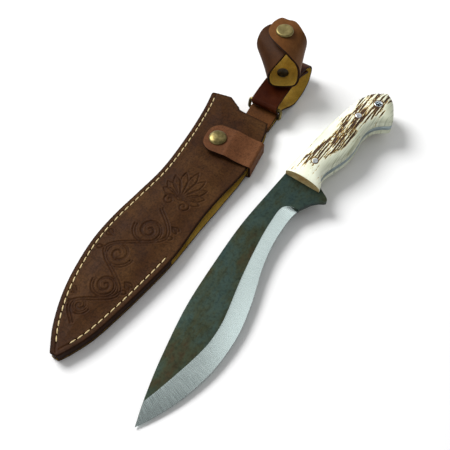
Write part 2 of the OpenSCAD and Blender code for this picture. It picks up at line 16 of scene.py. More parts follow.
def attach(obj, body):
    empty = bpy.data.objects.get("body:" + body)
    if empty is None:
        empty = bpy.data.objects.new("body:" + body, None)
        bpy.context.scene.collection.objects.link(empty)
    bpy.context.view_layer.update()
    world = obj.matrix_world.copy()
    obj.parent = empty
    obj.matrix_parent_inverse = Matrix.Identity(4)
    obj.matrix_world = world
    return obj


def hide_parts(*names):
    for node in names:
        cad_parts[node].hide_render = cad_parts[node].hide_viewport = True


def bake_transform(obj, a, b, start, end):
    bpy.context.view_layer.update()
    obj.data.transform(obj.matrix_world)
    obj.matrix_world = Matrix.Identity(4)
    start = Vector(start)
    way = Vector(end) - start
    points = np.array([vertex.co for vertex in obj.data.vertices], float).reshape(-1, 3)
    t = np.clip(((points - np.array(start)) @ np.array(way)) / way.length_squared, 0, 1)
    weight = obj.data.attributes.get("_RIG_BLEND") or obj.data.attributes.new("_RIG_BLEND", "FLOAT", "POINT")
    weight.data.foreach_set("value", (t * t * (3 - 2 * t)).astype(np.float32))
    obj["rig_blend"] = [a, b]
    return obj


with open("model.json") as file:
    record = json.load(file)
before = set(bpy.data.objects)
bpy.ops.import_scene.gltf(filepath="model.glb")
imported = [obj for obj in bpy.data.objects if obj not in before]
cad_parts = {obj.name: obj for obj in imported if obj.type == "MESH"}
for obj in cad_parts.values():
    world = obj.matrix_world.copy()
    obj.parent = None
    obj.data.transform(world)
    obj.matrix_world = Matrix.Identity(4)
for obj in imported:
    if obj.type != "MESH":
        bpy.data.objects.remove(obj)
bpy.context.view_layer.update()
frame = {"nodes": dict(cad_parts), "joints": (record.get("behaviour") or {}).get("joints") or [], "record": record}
joints = {joint["name"]: joint for joint in frame["joints"]}
mounts = {mount["name"]: mount for mount in frame["record"]["mounts"]}
print("solids:", len(frame["nodes"]), "joints:", len(joints))

# %% [markdown]
# ## Sizes
# These are the sizes of the real pieces in millimetres, the same that the solids were built from.
# Outlines are kept as shares of a length and a width, so a longer blade stays the same blade.
# Pieces that lie on each other are kept apart by a hair.

# %% Sizes of the knife and the sheath
MM = 0.001
blade_l, blade_w, steel_t, edge_t, guard_drop = 244, 44, 5, 0.6, 23.5
handle_l, handle_w, scale_t, scale_rim = 123, 34, 10.5, 4.5
pin_d, tube_d, tube_bore, pin_proud = 5.75, 7.5, 5.25, 0.2
sheath_l, sheath_w, leather_t, welt_t, welt_w = 277, 66, 2.4, 6, 9
seam_in, stitch_pitch, stitch_gap, thread_w, thread_h = 4.5, 6.5, 1.0, 1.2, 0.6
front_z = leather_t + welt_t
sheath_t = front_z + leather_t
open_from = -0.585 * sheath_l

strap_t, closure_w, closure_reach, closure_tail, end_r = 2.2, 30, 47, 38, 12
closure_wall = -1 - strap_t / 2
snap_lift = 4.0
flap_z = sheath_t + snap_lift + strap_t / 2
bend_z = sheath_t + 0.3 + strap_t / 2
closure_snap = closure_reach - 11.5
tab_w, tab_reach, tab_tuck, hang_y, eye_gap = 27, 14, 26, -3.3, 1.8
loop_w, loop_l, loop_drop, loop_skew, loop_top, loop_layer = 26, 65, 14.2, 0.28, 3.6, 2.6
rivet_share, rivet_d, head_d, head_h, swing_gap = 0.522, 3.5, 11, 0.8, 0.3
keeper_w, keeper_h, keeper_foot, keeper_bend = 28, 38, 9, 14
outer_z = keeper_h - strap_t / 2
cap_d, cap_h = 16, 3.2
hair, tube_hole_r = 0.02, tube_d / 2 - 0.2

spine_form = [
    (0, .47), (-.1, .485), (-.25, .5), (-.4, .445), (-.6, .32), (-.78, .09), (-.9, -.11),
    (-1, -.31)]
edge_form = [
    (-1, -.31), (-.95, -.45), (-.87, -.62), (-.78, -.74), (-.69, -.785), (-.58, -.74), (-.47, -.58),
    (-.36, -.36), (-.26, -.22), (-.15, -.17), (-.09, -.21)]
grind_form = [
    (-1.06, .04), (-1, -.05), (-.93, -.165), (-.82, -.305), (-.7, -.42), (-.63, -.425),
    (-.56, -.365), (-.42, -.155), (-.27, .02), (-.17, .09), (-.13, .09), (-.113, .04),
    (-.104, -.04), (-.1, -.13)]
guard_form = [
    (-12, -.61), (-7.5, -.79), (-5, -.95), (-3.3, -1), (-1.5, -.97), (.5, -.86), (2.5, -.7),
    (4.5, -.55)]
back_form = [
    (0, .6), (.13, .58), (.3, .53), (.47, .485), (.63, .42), (.79, .325), (.86, .25), (.905, .175),
    (.94, .08), (.97, -.04), (.99, -.15), (1, -.27)]
belly_form = [
    (0, -.4), (.035, -.37), (.09, -.25), (.16, -.23), (.24, -.31), (.33, -.41), (.42, -.455),
    (.51, -.435), (.58, -.4), (.65, -.42), (.71, -.51), (.75, -.65), (.79, -.82), (.84, -.76),
    (.885, -.67), (.94, -.55), (.98, -.41), (1, -.27)]
sheath_spine_form = [
    (.018, .73), (-.06, .665), (-.18, .61), (-.325, .59), (-.445, .65), (-.55, .71), (-.65, .725),
    (-.755, .67), (-.845, .575), (-.93, .425), (-.985, .28), (-1, .235)]
sheath_edge_form = [
    (-1, .14), (-.965, .06), (-.9, -.05), (-.81, -.135), (-.71, -.21), (-.59, -.28), (-.45, -.31),
    (-.32, -.35), (-.205, -.37), (-.07, -.31), (0, -.225)]
throat_form = [
    (0, -.225), (.003, .2), (.012, .27), (.034, .43), (.036, .48), (.025, .7), (.018, .73)]
front_pin_at = (0.16 * handle_l, 0.12 * handle_w)
middle_pin_at = (0.675 * handle_l, -0.03 * handle_w)
tube_at = (0.85 * handle_l, -0.26 * handle_w)
back_mount_at = (-130, 10, 0)

# The keeper's front and rear edge from its inner end to its outer end, as shares of its width and height
keeper_front_form = [
    (.21, -.3, .826), (.07, -.16, .82), (-.07, -.02, .76), (-.2, .13, .67), (-.3, .29, .55),
    (-.375, .43, .42), (-.43, .5, .27), (-.5, .46, .12), (-.55, .32, .044), (-.57, 0, .03),
    (-.55, -.32, .044), (-.5, -.44, .12), (-.43, -.48, .27), (-.37, -.46, .46), (-.33, -.365, .63),
    (-.34, -.22, .785), (-.24, 0, .945), (.02, .25, 1), (.34, .46, 1), (.57, .59, .995)]
keeper_rear_form = [
    (1.13, -.11, .826), (1.18, .15, .826), (1.18, .45, .82), (1.02, .69, .775), (.8, .82, .68),
    (.66, .84, .52), (.58, .74, .325), (.63, .535, .15), (.74, .32, .05), (.77, 0, .03),
    (.74, -.32, .05), (.63, -.535, .15), (.54, -.66, .325), (.545, -.71, .52), (.61, -.72, .71),
    (.73, -.62, .88), (1.035, -.39, .995), (1.14, -.14, 1), (1.24, .07, 1), (1.19, .29, .995)]
keeper_front, keeper_rear = (np.array(form) * (keeper_w, keeper_w, outer_z)
                             for form in (keeper_front_form, keeper_rear_form))
keeper_snap_x = 0.59 * keeper_w
print("knife length", blade_l + handle_l, "mm, sheath length", sheath_l, "mm")

# %% [markdown]
# ## Where each piece lies
# Every piece is modelled flat, in millimetres, round a handy point of its own: the knife round the
# front of its scales, the sheath round its throat. One matrix then lays it where the solids are.
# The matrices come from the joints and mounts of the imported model, so nothing is fitted by eye.

# %% Matrices from a piece's own millimetres to the frame
UP = Vector((0, 0, 1))


def lay(origin, along, normal, start=(0, 0, 0)):
    """The matrix that lays +X along one direction and +Z along a normal, with start at the origin."""
    x, z = Vector(along).normalized(), Vector(normal).normalized()
    turn = Matrix((x, z.cross(x), z)).transposed().to_4x4()
    return Matrix.Translation(origin) @ turn @ Matrix.Scale(MM, 4) @ Matrix.Translation(-Vector(start))


sheath_up = -Vector(mounts["sheath_back"]["axis"])
sheath_along = Vector((0, 1, 0)).cross(sheath_up)
on_sheath = lay(mounts["sheath_back"]["pos_m"], sheath_along, sheath_up, back_mount_at)
knife_up = Vector(mounts["lanyard_bore"]["axis"])
knife_along = UP.cross(Vector((-knife_up.x, -knife_up.y, 0)).normalized()).cross(knife_up)
on_knife = lay(mounts["lanyard_bore"]["pos_m"], knife_along, knife_up, (*tube_at, 0))
on_closure = lay(joints["closure_open"]["pos_m"], joints["closure_open"]["axis"], sheath_up,
                 (0, closure_wall, bend_z))
on_loop = lay(joints["loop_swing"]["pos_m"], (1, 0, 0), UP)
bend_line = Vector(keeper_rear[keeper_bend] - keeper_front[keeper_bend])
keeper_turn = bend_line.xy.angle_signed(Vector(joints["keeper_open"]["axis"]).xy)
keeper_along = Matrix.Rotation(-keeper_turn, 3, "Z") @ Vector((1, 0, 0))
on_keeper = lay(joints["keeper_turn"]["pos_m"], keeper_along, UP)
print("knife lies at", [round(c, 4) for c in on_knife.translation], "keeper turned by",
      round(math.degrees(-keeper_turn), 1))

# %% [markdown]
# ## Lines
# A smooth line through a few points gives every outline. The helpers below sample such a line,
# space its points evenly, move it sideways and read its height at a place. Two more give a soft
# step and a smooth noise.

# %% Lines from a few points


def smooth(points, steps=8):
    """A smooth line through the points."""
    p = np.array(points, float)
    p = np.vstack([p[:1], p, p[-1:]])
    t = np.linspace(0, 1, steps, endpoint=False)[:, None]
    runs = [(2 * b + (c - a) * t + (2 * a - 5 * b + 4 * c - d) * t ** 2
             + (3 * b - a - 3 * c + d) * t ** 3) / 2
            for a, b, c, d in zip(p, p[1:], p[2:], p[3:])]
    return np.vstack(runs + [p[-1:]])


def sized(form, length, width):
    """A smooth line through points given as shares of a length and a width."""
    return smooth(np.array(form) * (length, width))


def run_of(line):
    """How far each point of a line is from its start, measured along the line."""
    return np.concatenate([[0], np.cumsum(np.linalg.norm(np.diff(line, axis=0), axis=1))])


def along(line, distances):
    """The places at some distances along a line."""
    return np.column_stack([np.interp(distances, run_of(line), line[:, i]) for i in (0, 1)])


def spaced(line, count):
    """A number of places, evenly spaced on a line."""
    return along(line, np.linspace(0, run_of(line)[-1], count))


def moved_in(line, distance):
    """The line moved to its left."""
    d = np.gradient(line, axis=0)
    return line + distance * np.column_stack([-d[:, 1], d[:, 0]]) / np.linalg.norm(d, axis=1)[:, None]


def height(line, x):
    """The height of a line at a place."""
    order = np.argsort(line[:, 0], kind="stable")
    return np.interp(x, line[order, 0], line[order, 1])


def ease(a, b, x):
    """0 before a, 1 after b, smooth between."""
    t = np.clip((x - a) / (b - a), 0, 1)
    return t * t * (3 - 2 * t)


def wander(x, y, seed, x_scale, y_scale):
    """Smooth noise at each place; a small scale draws it out."""
    return np.array([noise.noise(Vector((p * x_scale, q * y_scale, seed))) for p, q in zip(x, y)])


def arc(centre, radius, start, end, steps=16):
    turn = np.radians(np.linspace(start, end, steps + 1))
    return np.array(centre) + radius * np.column_stack([np.cos(turn), np.sin(turn)])


handle_back = sized(back_form, handle_l, handle_w)
handle_belly = sized(belly_form, handle_l, handle_w)
sheath_spine = sized(sheath_spine_form, sheath_l, sheath_w)
sheath_edge = sized(sheath_edge_form, sheath_l, sheath_w)
throat = sized(throat_form, sheath_l, sheath_w)
spine_seam = moved_in(spaced(sheath_spine, 400), seam_in)
sewn = sheath_edge[(sheath_edge[:, 0] >= -0.99 * sheath_l) & (sheath_edge[:, 0] <= open_from)]
edge_seam = moved_in(spaced(sewn, 200), seam_in)
print("seams:", round(run_of(spine_seam)[-1]), "and", round(run_of(edge_seam)[-1]), "mm")

# %% [markdown]
# ## Ways to make a piece
# Most of these pieces are sheets: a panel, a strap, the face of the blade. A sheet starts as
# Blender's grid and a function moves each corner to its place. Round pieces are a profile spun
# about its axis. `finish_piece` lays the mesh in the frame, shades it smooth with sharp corners
# kept, and hands it to the body that carries it. `store` keeps a number per corner, such as how
# dark a place is, for the finish to read.

# %% Helpers for sheets, round pieces and finished pieces


def step_of(share, count):
    """The nearest of a number of steps."""
    return np.rint(share * count).astype(int)


def open_rim(bm):
    return [edge for edge in bm.edges if edge.is_boundary]


def new_corners(made):
    """The corners among what an operator has made."""
    return [part for part in made["geom"] if isinstance(part, bmesh.types.BMVert)]


def store(bm, numbers):
    """Keeps numbers per corner under their names."""
    for name, values in numbers.items():
        layer = bm.verts.layers.float.new(name)
        for vert, value in zip(bm.verts, values):
            vert[layer] = value


def grid(columns, rows, shape, length=1, width=1):
    """A grid whose corners go where shape(u, v) says; its UV map follows the sheet, in metres."""
    bm = bmesh.new()
    uv = bm.loops.layers.uv.new("grain")
    bmesh.ops.create_grid(bm, x_segments=columns, y_segments=rows, size=0.5)
    corner = np.array([v.co[:2] for v in bm.verts]) + 0.5
    for face in bm.faces:
        for loop in face.loops:
            u, v = corner[loop.vert.index]
            loop[uv].uv = (u * length * MM, v * width * MM)
    for vert, place in zip(bm.verts, shape(corner[:, 0], corner[:, 1])):
        vert.co = place
    return bm


def spun(profile, steps=40):
    """A closed round piece: a profile of (radius, height) points turned once about the Z axis."""
    bm = bmesh.new()
    verts = [bm.verts.new((r, 0, z)) for r, z in profile]
    edges = [bm.edges.new(pair) for pair in zip(verts, verts[1:])]
    bmesh.ops.spin(bm, geom=verts + edges, axis=(0, 0, 1), cent=(0, 0, 0), angle=2 * math.pi, steps=steps,
                   use_merge=True)
    bmesh.ops.remove_doubles(bm, verts=bm.verts, dist=1e-4)
    bmesh.ops.recalc_face_normals(bm, faces=bm.faces)
    return bm


def into_scene(name, data):
    """An object made of a mesh, a lamp or a camera."""
    made = bpy.data.objects.new(name, data)
    bpy.context.scene.collection.objects.link(made)
    return made


def shade(mesh, sharp):
    """Smooth shading that keeps corners above an angle sharp."""
    mesh.shade_smooth()
    mesh.set_sharp_from_angle(angle=math.radians(sharp))


def make_piece(name, bm, matrix, finishes, sharp=35):
    """Makes the object and lays it in the frame."""
    bm.transform(matrix)
    mesh = bpy.data.meshes.new(name)
    bm.to_mesh(mesh)
    bm.free()
    for finish in finishes:
        mesh.materials.append(finish)
    shade(mesh, sharp)
    return into_scene(name, mesh)


def hand_over(piece, takes, body=None):
    """Lets a piece replace solids and ride a body; one that bends at a joint is blended later."""
    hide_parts(*takes)
    if body:
        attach(piece, body)
    print(piece.name, len(piece.data.polygons), "faces")
    return piece


def finish_piece(name, bm, matrix, finishes, takes, body=None, sharp=35):
    return hand_over(make_piece(name, bm, matrix, finishes, sharp), takes, body)


def bake(piece, sharp=35):
    """Turns a piece's modifiers into its mesh."""
    whole = piece.evaluated_get(bpy.context.evaluated_depsgraph_get())
    piece.data = bpy.data.meshes.new_from_object(whole)
    piece.modifiers.clear()
    shade(piece.data, sharp)
    return piece


def bore(piece, matrix, radius, sharp):
    """Drills right through a piece along the Z axis of a matrix; flat triangles give a clean cut."""
    bm = bmesh.new()
    bmesh.ops.create_cone(bm, cap_ends=True, segments=40, radius1=radius, radius2=radius, depth=60)
    drill = make_piece("drill", bm, matrix, [])
    piece.modifiers.new("flat facets", "TRIANGULATE")
    cut = piece.modifiers.new("bore", "BOOLEAN")
    cut.operation, cut.solver, cut.object = "DIFFERENCE", "EXACT", drill
    bake(piece, sharp)
    bpy.data.objects.remove(drill)


def thicken(piece, thickness, rounding):
    """Gives a sheet its thickness to both sides; flesh side and rim take the next two finishes."""
    wall = piece.modifiers.new("wall", "SOLIDIFY")
    wall.thickness, wall.offset, wall.use_even_offset = thickness * MM, 0, True
    wall.material_offset, wall.material_offset_rim = 1, 2
    edge = piece.modifiers.new("edge", "BEVEL")
    edge.width, edge.segments, edge.limit_method = rounding * MM, 2, "ANGLE"
    edge.angle_limit = math.radians(50)
    return bake(piece)


print("piece helpers ready")

# %% [markdown]
# ## Finishes
# A finish is a small tree of shader nodes. Patterns read Object coordinates, so they sit still in
# the material as grain does in leather, or an attribute or UV map that a piece brings with it.
# Colours are written as an eye-dropper reads them and are turned into linear light.

# %% Helpers for finishes


def hue(red, green, blue):
    """A colour of 0 to 255 as linear light."""
    shades = np.array((red, green, blue)) / 255
    return (*(float(c / 12.92 if c < 0.0405 else ((c + 0.055) / 1.055) ** 2.4) for c in shades), 1)


def feed(finish, socket, value):
    """Gives a socket a constant or another node's output."""
    if isinstance(value, bpy.types.NodeSocket):
        finish.node_tree.links.new(value, socket)
    else:
        socket.default_value = value


def add(finish, kind, inputs=None, **settings):
    """Adds a node; an input takes a number, a colour or another node's output."""
    made = finish.node_tree.nodes.new("ShaderNode" + kind)
    for key, value in settings.items():
        setattr(made, key, value)
    for key, value in (inputs or {}).items():
        feed(finish, made.inputs[key], value)
    return made


def ramp(finish, source, *stops):
    """Colours of 0 to 255, or greys of linear light, at places between 0 and 1."""
    made = add(finish, "ValToRGB", {"Fac": source})
    while len(made.color_ramp.elements) < len(stops):
        made.color_ramp.elements.new(1)
    for element, (place, colour) in zip(made.color_ramp.elements, stops):
        element.position = place
        element.color = hue(*colour) if isinstance(colour, tuple) else (colour, colour, colour, 1)
    return made.outputs["Color"]


def mixed(finish, share, a, b, way="MIX"):
    """Two colours, mixed by a share."""
    made = add(finish, "Mix", data_type="RGBA", blend_type=way)
    for key, value in (("Factor", share), ("A", a), ("B", b)):
        feed(finish, next(s for s in made.inputs if s.name == key and s.enabled), value)
    return next(s for s in made.outputs if s.enabled)


def join(finish, **sources):
    """Feeds the shader of a finish or a sky; an underscore in a socket's name stands for a blank."""
    nodes = finish.node_tree.nodes
    shader = nodes.get("Principled BSDF") or nodes["Background"]
    for key, value in sources.items():
        feed(finish, shader.inputs[key.replace("_", " ")], value)
    return finish


def new_finish(name, **constants):
    """A finish and its Object coordinates; sockets that are the same all over are set here."""
    finish = bpy.data.materials.new(name)
    finish.use_nodes = True
    join(finish, **constants)
    return finish, add(finish, "TexCoord").outputs["Object"]


def noisy(finish, where, scale, detail=4, roughness=0.55):
    """Noise of one scale, or of three scales, one for each direction."""
    if isinstance(scale, tuple):
        where, scale = add(finish, "Mapping", {"Vector": where, "Scale": scale}).outputs["Vector"], 1
    return add(finish, "TexNoise", {"Vector": where, "Scale": scale, "Detail": detail,
                                    "Roughness": roughness}).outputs["Fac"]


def bumped(finish, level, distance, strength, under=None):
    inputs = {"Height": level, "Distance": distance, "Strength": strength}
    if under is not None:
        inputs["Normal"] = under
    return add(finish, "Bump", inputs).outputs["Normal"]


def attribute(finish, name):
    return add(finish, "Attribute", attribute_name=name).outputs["Fac"]


print("finish helpers ready")

# %% [markdown]
# ### Steel
# The flats keep the dark skin from the forge: blue-green, with olive and brown stains. The ground
# edge is bright and carries fine lines across it from the belt. The lines come from noise that is
# squeezed along the edge and drawn out across it, on the blade's own UV map.

# %% Steel finishes


def forge_skin():
    finish, where = new_finish("forge skin", Metallic=0.75, Specular_IOR_Level=0.4)
    stain = noisy(finish, where, (22, 48, 48), 9, 0.7)
    skin = ramp(finish, stain, (0.32, (58, 46, 26)), (0.43, (52, 58, 40)), (0.54, (52, 68, 60)),
                (0.7, (44, 64, 65)))
    speck = ramp(finish, noisy(finish, where, 420, 5, 0.65), (0.34, 0.35), (0.54, 1.08))
    gloss = ramp(finish, noisy(finish, where, 90, 5), (0.3, 0.34), (0.75, 0.52))
    return join(finish, Base_Color=mixed(finish, 0.55, skin, speck, "MULTIPLY"), Roughness=gloss,
                Normal=bumped(finish, noisy(finish, where, 700, 4), 0.0001, 0.35))


def ground_edge():
    finish, _ = new_finish("ground edge", Metallic=1.0)
    across = add(finish, "UVMap", uv_map="grain").outputs["UV"]
    lines = noisy(finish, across, (3800, 60, 1), 3, 0.7)
    tone = ramp(finish, lines, (0.3, (206, 224, 222)), (0.7, (238, 253, 251)))
    gloss = ramp(finish, lines, (0.3, 0.22), (0.7, 0.32))
    return join(finish, Base_Color=tone, Roughness=gloss, Normal=bumped(finish, lines, 0.0001, 0.25))


def pin_metal(name, dark, light, gloss):
    finish, where = new_finish(name, Metallic=1.0)
    wear = noisy(finish, where, 260, 5)
    return join(finish, Base_Color=ramp(finish, wear, (0.3, dark), (0.7, light)),
                Roughness=ramp(finish, wear, (0.3, gloss), (0.7, gloss + 0.14)),
                Normal=bumped(finish, noisy(finish, where, 1500, 3), 0.00005, 0.3))


forged, ground = forge_skin(), ground_edge()
sanded = pin_metal("sanded tang", (128, 142, 146), (168, 182, 186), 0.3)
nickel = pin_metal("nickel silver", (196, 202, 206), (232, 236, 238), 0.16)
brass = pin_metal("antique brass", (90, 80, 46), (146, 132, 88), 0.3)
dull_brass = pin_metal("dull brass", (118, 106, 66), (146, 134, 90), 0.4)
black_rivet = pin_metal("blackened rivet", (40, 36, 30), (70, 64, 52), 0.36)
bright_wire = pin_metal("spring wire", (176, 178, 180), (214, 216, 218), 0.2)
print("steel:", forged.name, "and", ground.name)

# %% [markdown]
# ### Antler
# Polished antler is ivory. Where the bark is left it is ribbed, dark brown in the furrows and
# caramel on their flanks. The piece itself says where: an attribute named bark is 1 in a furrow and
# 0 on polished antler. A second one, soil_and_shade, greys the belly and the very edge of the back:
# partly fine grey scratches on the belly, partly painted shade over the belly side and the back's edge.

# %% Antler finishes


def polished_antler():
    finish, where = new_finish("polished antler", Specular_IOR_Level=0.5)
    bark = attribute(finish, "bark")
    cloud = noisy(finish, where, (40, 110, 110), 5)
    ivory = ramp(finish, cloud, (0.3, (222, 224, 196)), (0.6, (244, 248, 227)))
    # soil_and_shade greys the ivory: grey scratches, plus painted shade on the belly side and the back's edge.
    ivory = mixed(finish, attribute(finish, "soil_and_shade"), ivory, hue(182, 186, 176), "MULTIPLY")
    colour = ramp(finish, bark, (0.0, (255, 255, 255)), (0.22, (214, 178, 100)), (0.5, (130, 86, 28)),
                  (0.85, (66, 38, 10)))
    gloss = ramp(finish, bark, (0.1, 0.28), (0.6, 0.6))
    fine = noisy(finish, where, (500, 1600, 1600), 4)
    return join(finish, Base_Color=mixed(finish, 1.0, ivory, colour, "MULTIPLY"), Roughness=gloss,
                Normal=bumped(finish, fine, 0.0001, 0.3))


def cut_antler():
    finish, where = new_finish("cut antler", Roughness=0.55)
    pores = noisy(finish, where, 900, 5, 0.7)
    core = noisy(finish, where, 70, 3)
    tan = ramp(finish, core, (0.35, (150, 122, 72)), (0.6, (206, 186, 132)))
    colour = mixed(finish, 0.5, tan, ramp(finish, pores, (0.35, 0.4), (0.55, 1.0)), "MULTIPLY")
    return join(finish, Base_Color=colour, Normal=bumped(finish, pores, 0.0002, 0.5))


antler, antler_end = polished_antler(), cut_antler()
print("antler:", antler.name, "and", antler_end.name)

# %% [markdown]
# ### Leather
# The same hide gives all the leathers: pores, grain, creases and clouds in the dye. They differ in
# dye and polish. A crease is a thin dark line along one level of a noise, so it wanders and forks
# as a fold in leather does. The tooled front reads two attributes: tooling, which is 1 in a stamped
# line, and rim, which is 1 where the burnished edge darkens. The flesh side is fuzzy and tan, and a
# cut edge is rubbed dark.

# %% Leather finishes


def hide(name, dark, middle, light, gloss, wrinkle=0.4, tooled=False):
    finish, where = new_finish(name, Specular_IOR_Level=0.06)
    cloud = noisy(finish, where, 34, 6, 0.6)
    dye = ramp(finish, cloud, (0.28, dark), (0.5, middle), (0.74, light))
    pore = noisy(finish, where, 1300, 3, 0.6)
    cells = add(finish, "TexVoronoi", {"Vector": where, "Scale": 210}, feature="DISTANCE_TO_EDGE")
    fold = noisy(finish, where, (150, 80, 80), 7, 0.62)
    crease = ramp(finish, fold, (0.465, 1.0), (0.5, 0.5), (0.535, 1.0))
    grain = noisy(finish, where, (460, 620, 620), 5, 0.7)
    colour = mixed(finish, wrinkle, dye, crease, "MULTIPLY")
    colour = mixed(finish, wrinkle, colour, ramp(finish, grain, (0.36, 0.42), (0.54, 1.1)), "MULTIPLY")
    colour = mixed(finish, 0.45, colour, ramp(finish, pore, (0.34, 0.55), (0.56, 1.0)), "MULTIPLY")
    if tooled:
        colour = mixed(finish, attribute(finish, "tooling"), colour, hue(40, 21, 13))
        colour = mixed(finish, attribute(finish, "rim"), colour, hue(33, 18, 11))
    rough = ramp(finish, cloud, (0.3, gloss), (0.7, gloss + 0.16))
    crack = bumped(finish, cells.outputs["Distance"], 0.0003, 0.25 * wrinkle)
    skin = bumped(finish, crease, 0.0004, 0.5 * wrinkle, crack)
    normal = bumped(finish, pore, 0.0001, 0.4, skin)
    return join(finish, Base_Color=colour, Roughness=rough, Normal=normal)


def flesh_side(name, dark, light):
    finish, where = new_finish(name, Roughness=0.9, Specular_IOR_Level=0.15)
    nap = noisy(finish, where, 900, 6, 0.75)
    blot = noisy(finish, where, 60, 4)
    colour = mixed(finish, 0.6, ramp(finish, blot, (0.3, dark), (0.7, light)),
                   ramp(finish, nap, (0.3, 0.45), (0.65, 1.0)), "MULTIPLY")
    return join(finish, Base_Color=colour, Normal=bumped(finish, nap, 0.0004, 0.6))


def rubbed_edge():
    finish, where = new_finish("rubbed edge", Specular_IOR_Level=0.08)
    layers = noisy(finish, where, (120, 120, 900), 4)
    return join(finish, Base_Color=ramp(finish, layers, (0.3, (24, 12, 6)), (0.7, (50, 28, 14))),
                Roughness=ramp(finish, layers, (0.3, 0.55), (0.7, 0.75)),
                Normal=bumped(finish, layers, 0.0003, 0.5))


def waxed_thread():
    finish, where = new_finish("waxed thread", Roughness=0.55)
    twist = noisy(finish, where, 1700, 2)
    colour = ramp(finish, twist, (0.35, (180, 152, 96)), (0.6, (230, 210, 160)))
    return join(finish, Base_Color=colour, Normal=bumped(finish, twist, 0.0003, 0.7))


front_hide = hide("tooled hide", (52, 29, 16), (67, 41, 19), (84, 56, 29), 0.46, 0.6, tooled=True)
back_hide = hide("back hide", (68, 38, 15), (89, 53, 23), (106, 67, 34), 0.44)
strap_hide = hide("strap hide", (86, 53, 33), (102, 64, 40), (118, 77, 49), 0.46)
loop_hide = hide("loop hide", (44, 12, 3), (64, 27, 10), (84, 46, 22), 0.3, 0.15)
keeper_hide = hide("keeper hide", (84, 50, 22), (106, 67, 33), (120, 80, 45), 0.42, 0.2)
# A darker copy of the keeper hide for the inner arm: painted shade, not another dye.
painted_shade_hide = hide("keeper hide, darker end", (46, 24, 7), (60, 33, 11), (74, 44, 20), 0.42, 0.2)
flesh = flesh_side("flesh side", (166, 132, 46), (218, 182, 84))
rim = rubbed_edge()
thread = waxed_thread()
print("finishes:", len(bpy.data.materials))

# %% [markdown]
# ## The blade
# The blade is one bar: ground edge, flats, finger guard and tang. Its top face is a grid of columns
# from tip to pommel, and each column has rows on the ground edge, on the grind line and on the
# flat, with a last row for the broken corner of the spine. The face is extruded and the copy is
# mirrored through the middle of the bar, which closes the walls as well. Where the grind stops
# before the guard two columns stand almost on each other, and that is the small step of the plunge.
# The ground face is a little full, as a belt leaves it, so its shine changes across it.

# %% Model the blade
heel, plunge, tang_from = -0.1 * blade_l, 0.03, 5
chamfer, full_grind, slope_reach = 0.35, 0.16, 2
spine_line = sized(spine_form, blade_l, blade_w)
cutting_edge = sized(edge_form, blade_l, blade_w)
grind_line = sized(grind_form, blade_l, blade_w)
guard_line = sized(guard_form, 1, guard_drop)
tang_belly = handle_belly[handle_belly[:, 0] >= 0.06 * handle_l]
tang_back = handle_back[handle_back[:, 0] >= 0.01 * handle_l]
low_line = np.vstack([cutting_edge, guard_line, tang_belly])
high_line = np.vstack([spine_line, tang_back])
stations = np.concatenate([
    -blade_l + (heel - plunge + blade_l) * np.linspace(0, 1, 210) ** 1.25,
    np.linspace(heel + plunge, 12, 76),
    handle_l - (handle_l - 12.5) * np.linspace(1, 0, 70) ** 1.5])
edge_rows = np.array([0, 0.03, 0.15, 0.3, 0.45, 0.6, 0.75, 0.9, 1])
flat_rows = np.array([0.02, 0.2, 0.4, 0.6, 0.8, 1])
row_count = len(edge_rows) + len(flat_rows) + 1


def grind_at(x):
    low, high = height(low_line, x), height(high_line, x)
    heel_low, heel_high = height(low_line, heel), height(high_line, heel)
    share = (height(grind_line, heel) - heel_low) / (heel_high - heel_low)
    return np.where(x < heel, height(grind_line, x), low + share * (high - low))


def blade_face(u, v):
    x, row = stations[step_of(u, len(stations) - 1)], step_of(v, row_count - 1)
    low, high, grind = height(low_line, x), height(high_line, x), grind_at(x)
    spine_break = np.minimum(chamfer, 0.1 * (high - low))
    crest = high - spine_break
    top = np.minimum(grind, crest - 0.012 * (high - low))
    on_edge = row < len(edge_rows)
    y = np.where(on_edge, low + (top - low) * edge_rows[np.minimum(row, len(edge_rows) - 1)],
                 top + (crest - top) * flat_rows[np.clip(row - len(edge_rows), 0, len(flat_rows) - 1)])
    y = np.where(row == row_count - 1, high, y)
    rise = np.clip((y - low) / np.maximum(grind - low, 0.01), 0, 1)
    ground_h = edge_t / 2 + (steel_t - edge_t) / 2 * rise + 4 * full_grind * rise * (1 - rise)
    h = np.where(x < heel, np.minimum(steel_t / 2, ground_h), steel_t / 2)
    h = np.where(row == row_count - 1, h - spine_break, h)
    return np.column_stack([x, y, np.where((row == 0) & (x > heel), steel_t / 2 - chamfer, h)])


def model_blade():
    bm = grid(len(stations) - 1, row_count - 1, blade_face)
    for vert in new_corners(bmesh.ops.extrude_face_region(bm, geom=bm.faces[:], use_keep_orig=True)):
        vert.co.z *= -1
    bmesh.ops.remove_doubles(bm, verts=bm.verts, dist=1e-3)
    bmesh.ops.dissolve_degenerate(bm, edges=bm.edges, dist=1e-4)
    bmesh.ops.recalc_face_normals(bm, faces=bm.faces)
    print("blade volume", round(bm.calc_volume(signed=True)), "mm3, open edges",
          sum(not edge.is_manifold for edge in bm.edges))
    uv = bm.loops.layers.uv["grain"]
    for face in bm.faces:
        centre = face.calc_center_median()
        # Walls keep the dark forge skin, and past the tang the sanded finish. On the thin wall of the cutting
        # edge, ground steel, the dark skin paints a line of shade.
        wall = abs(face.normal.z) < 0.9
        on_grind = centre.x < heel and centre.y < grind_at(np.array(centre.x)) + 0.005
        face.material_index = 2 if centre.x > tang_from and wall else int(on_grind and not wall)
        for loop in face.loops:
            x, y = loop.vert.co.x, loop.vert.co.y
            step = float(height(low_line, x + slope_reach) - height(low_line, x - slope_reach))
            slope = step / (2 * slope_reach)
            foot = x + (y - float(height(low_line, x))) * slope / (1 + slope * slope)
            loop[uv].uv = (foot * MM, y * MM)
    return bm


on_tube = on_knife @ Matrix.Translation((*tube_at, 0))
blade = make_piece("blade_steel", model_blade(), on_knife, [forged, ground, sanded])
bore(blade, on_tube, tube_hole_r, sharp=20)
hand_over(blade, ["blade"], "knife")

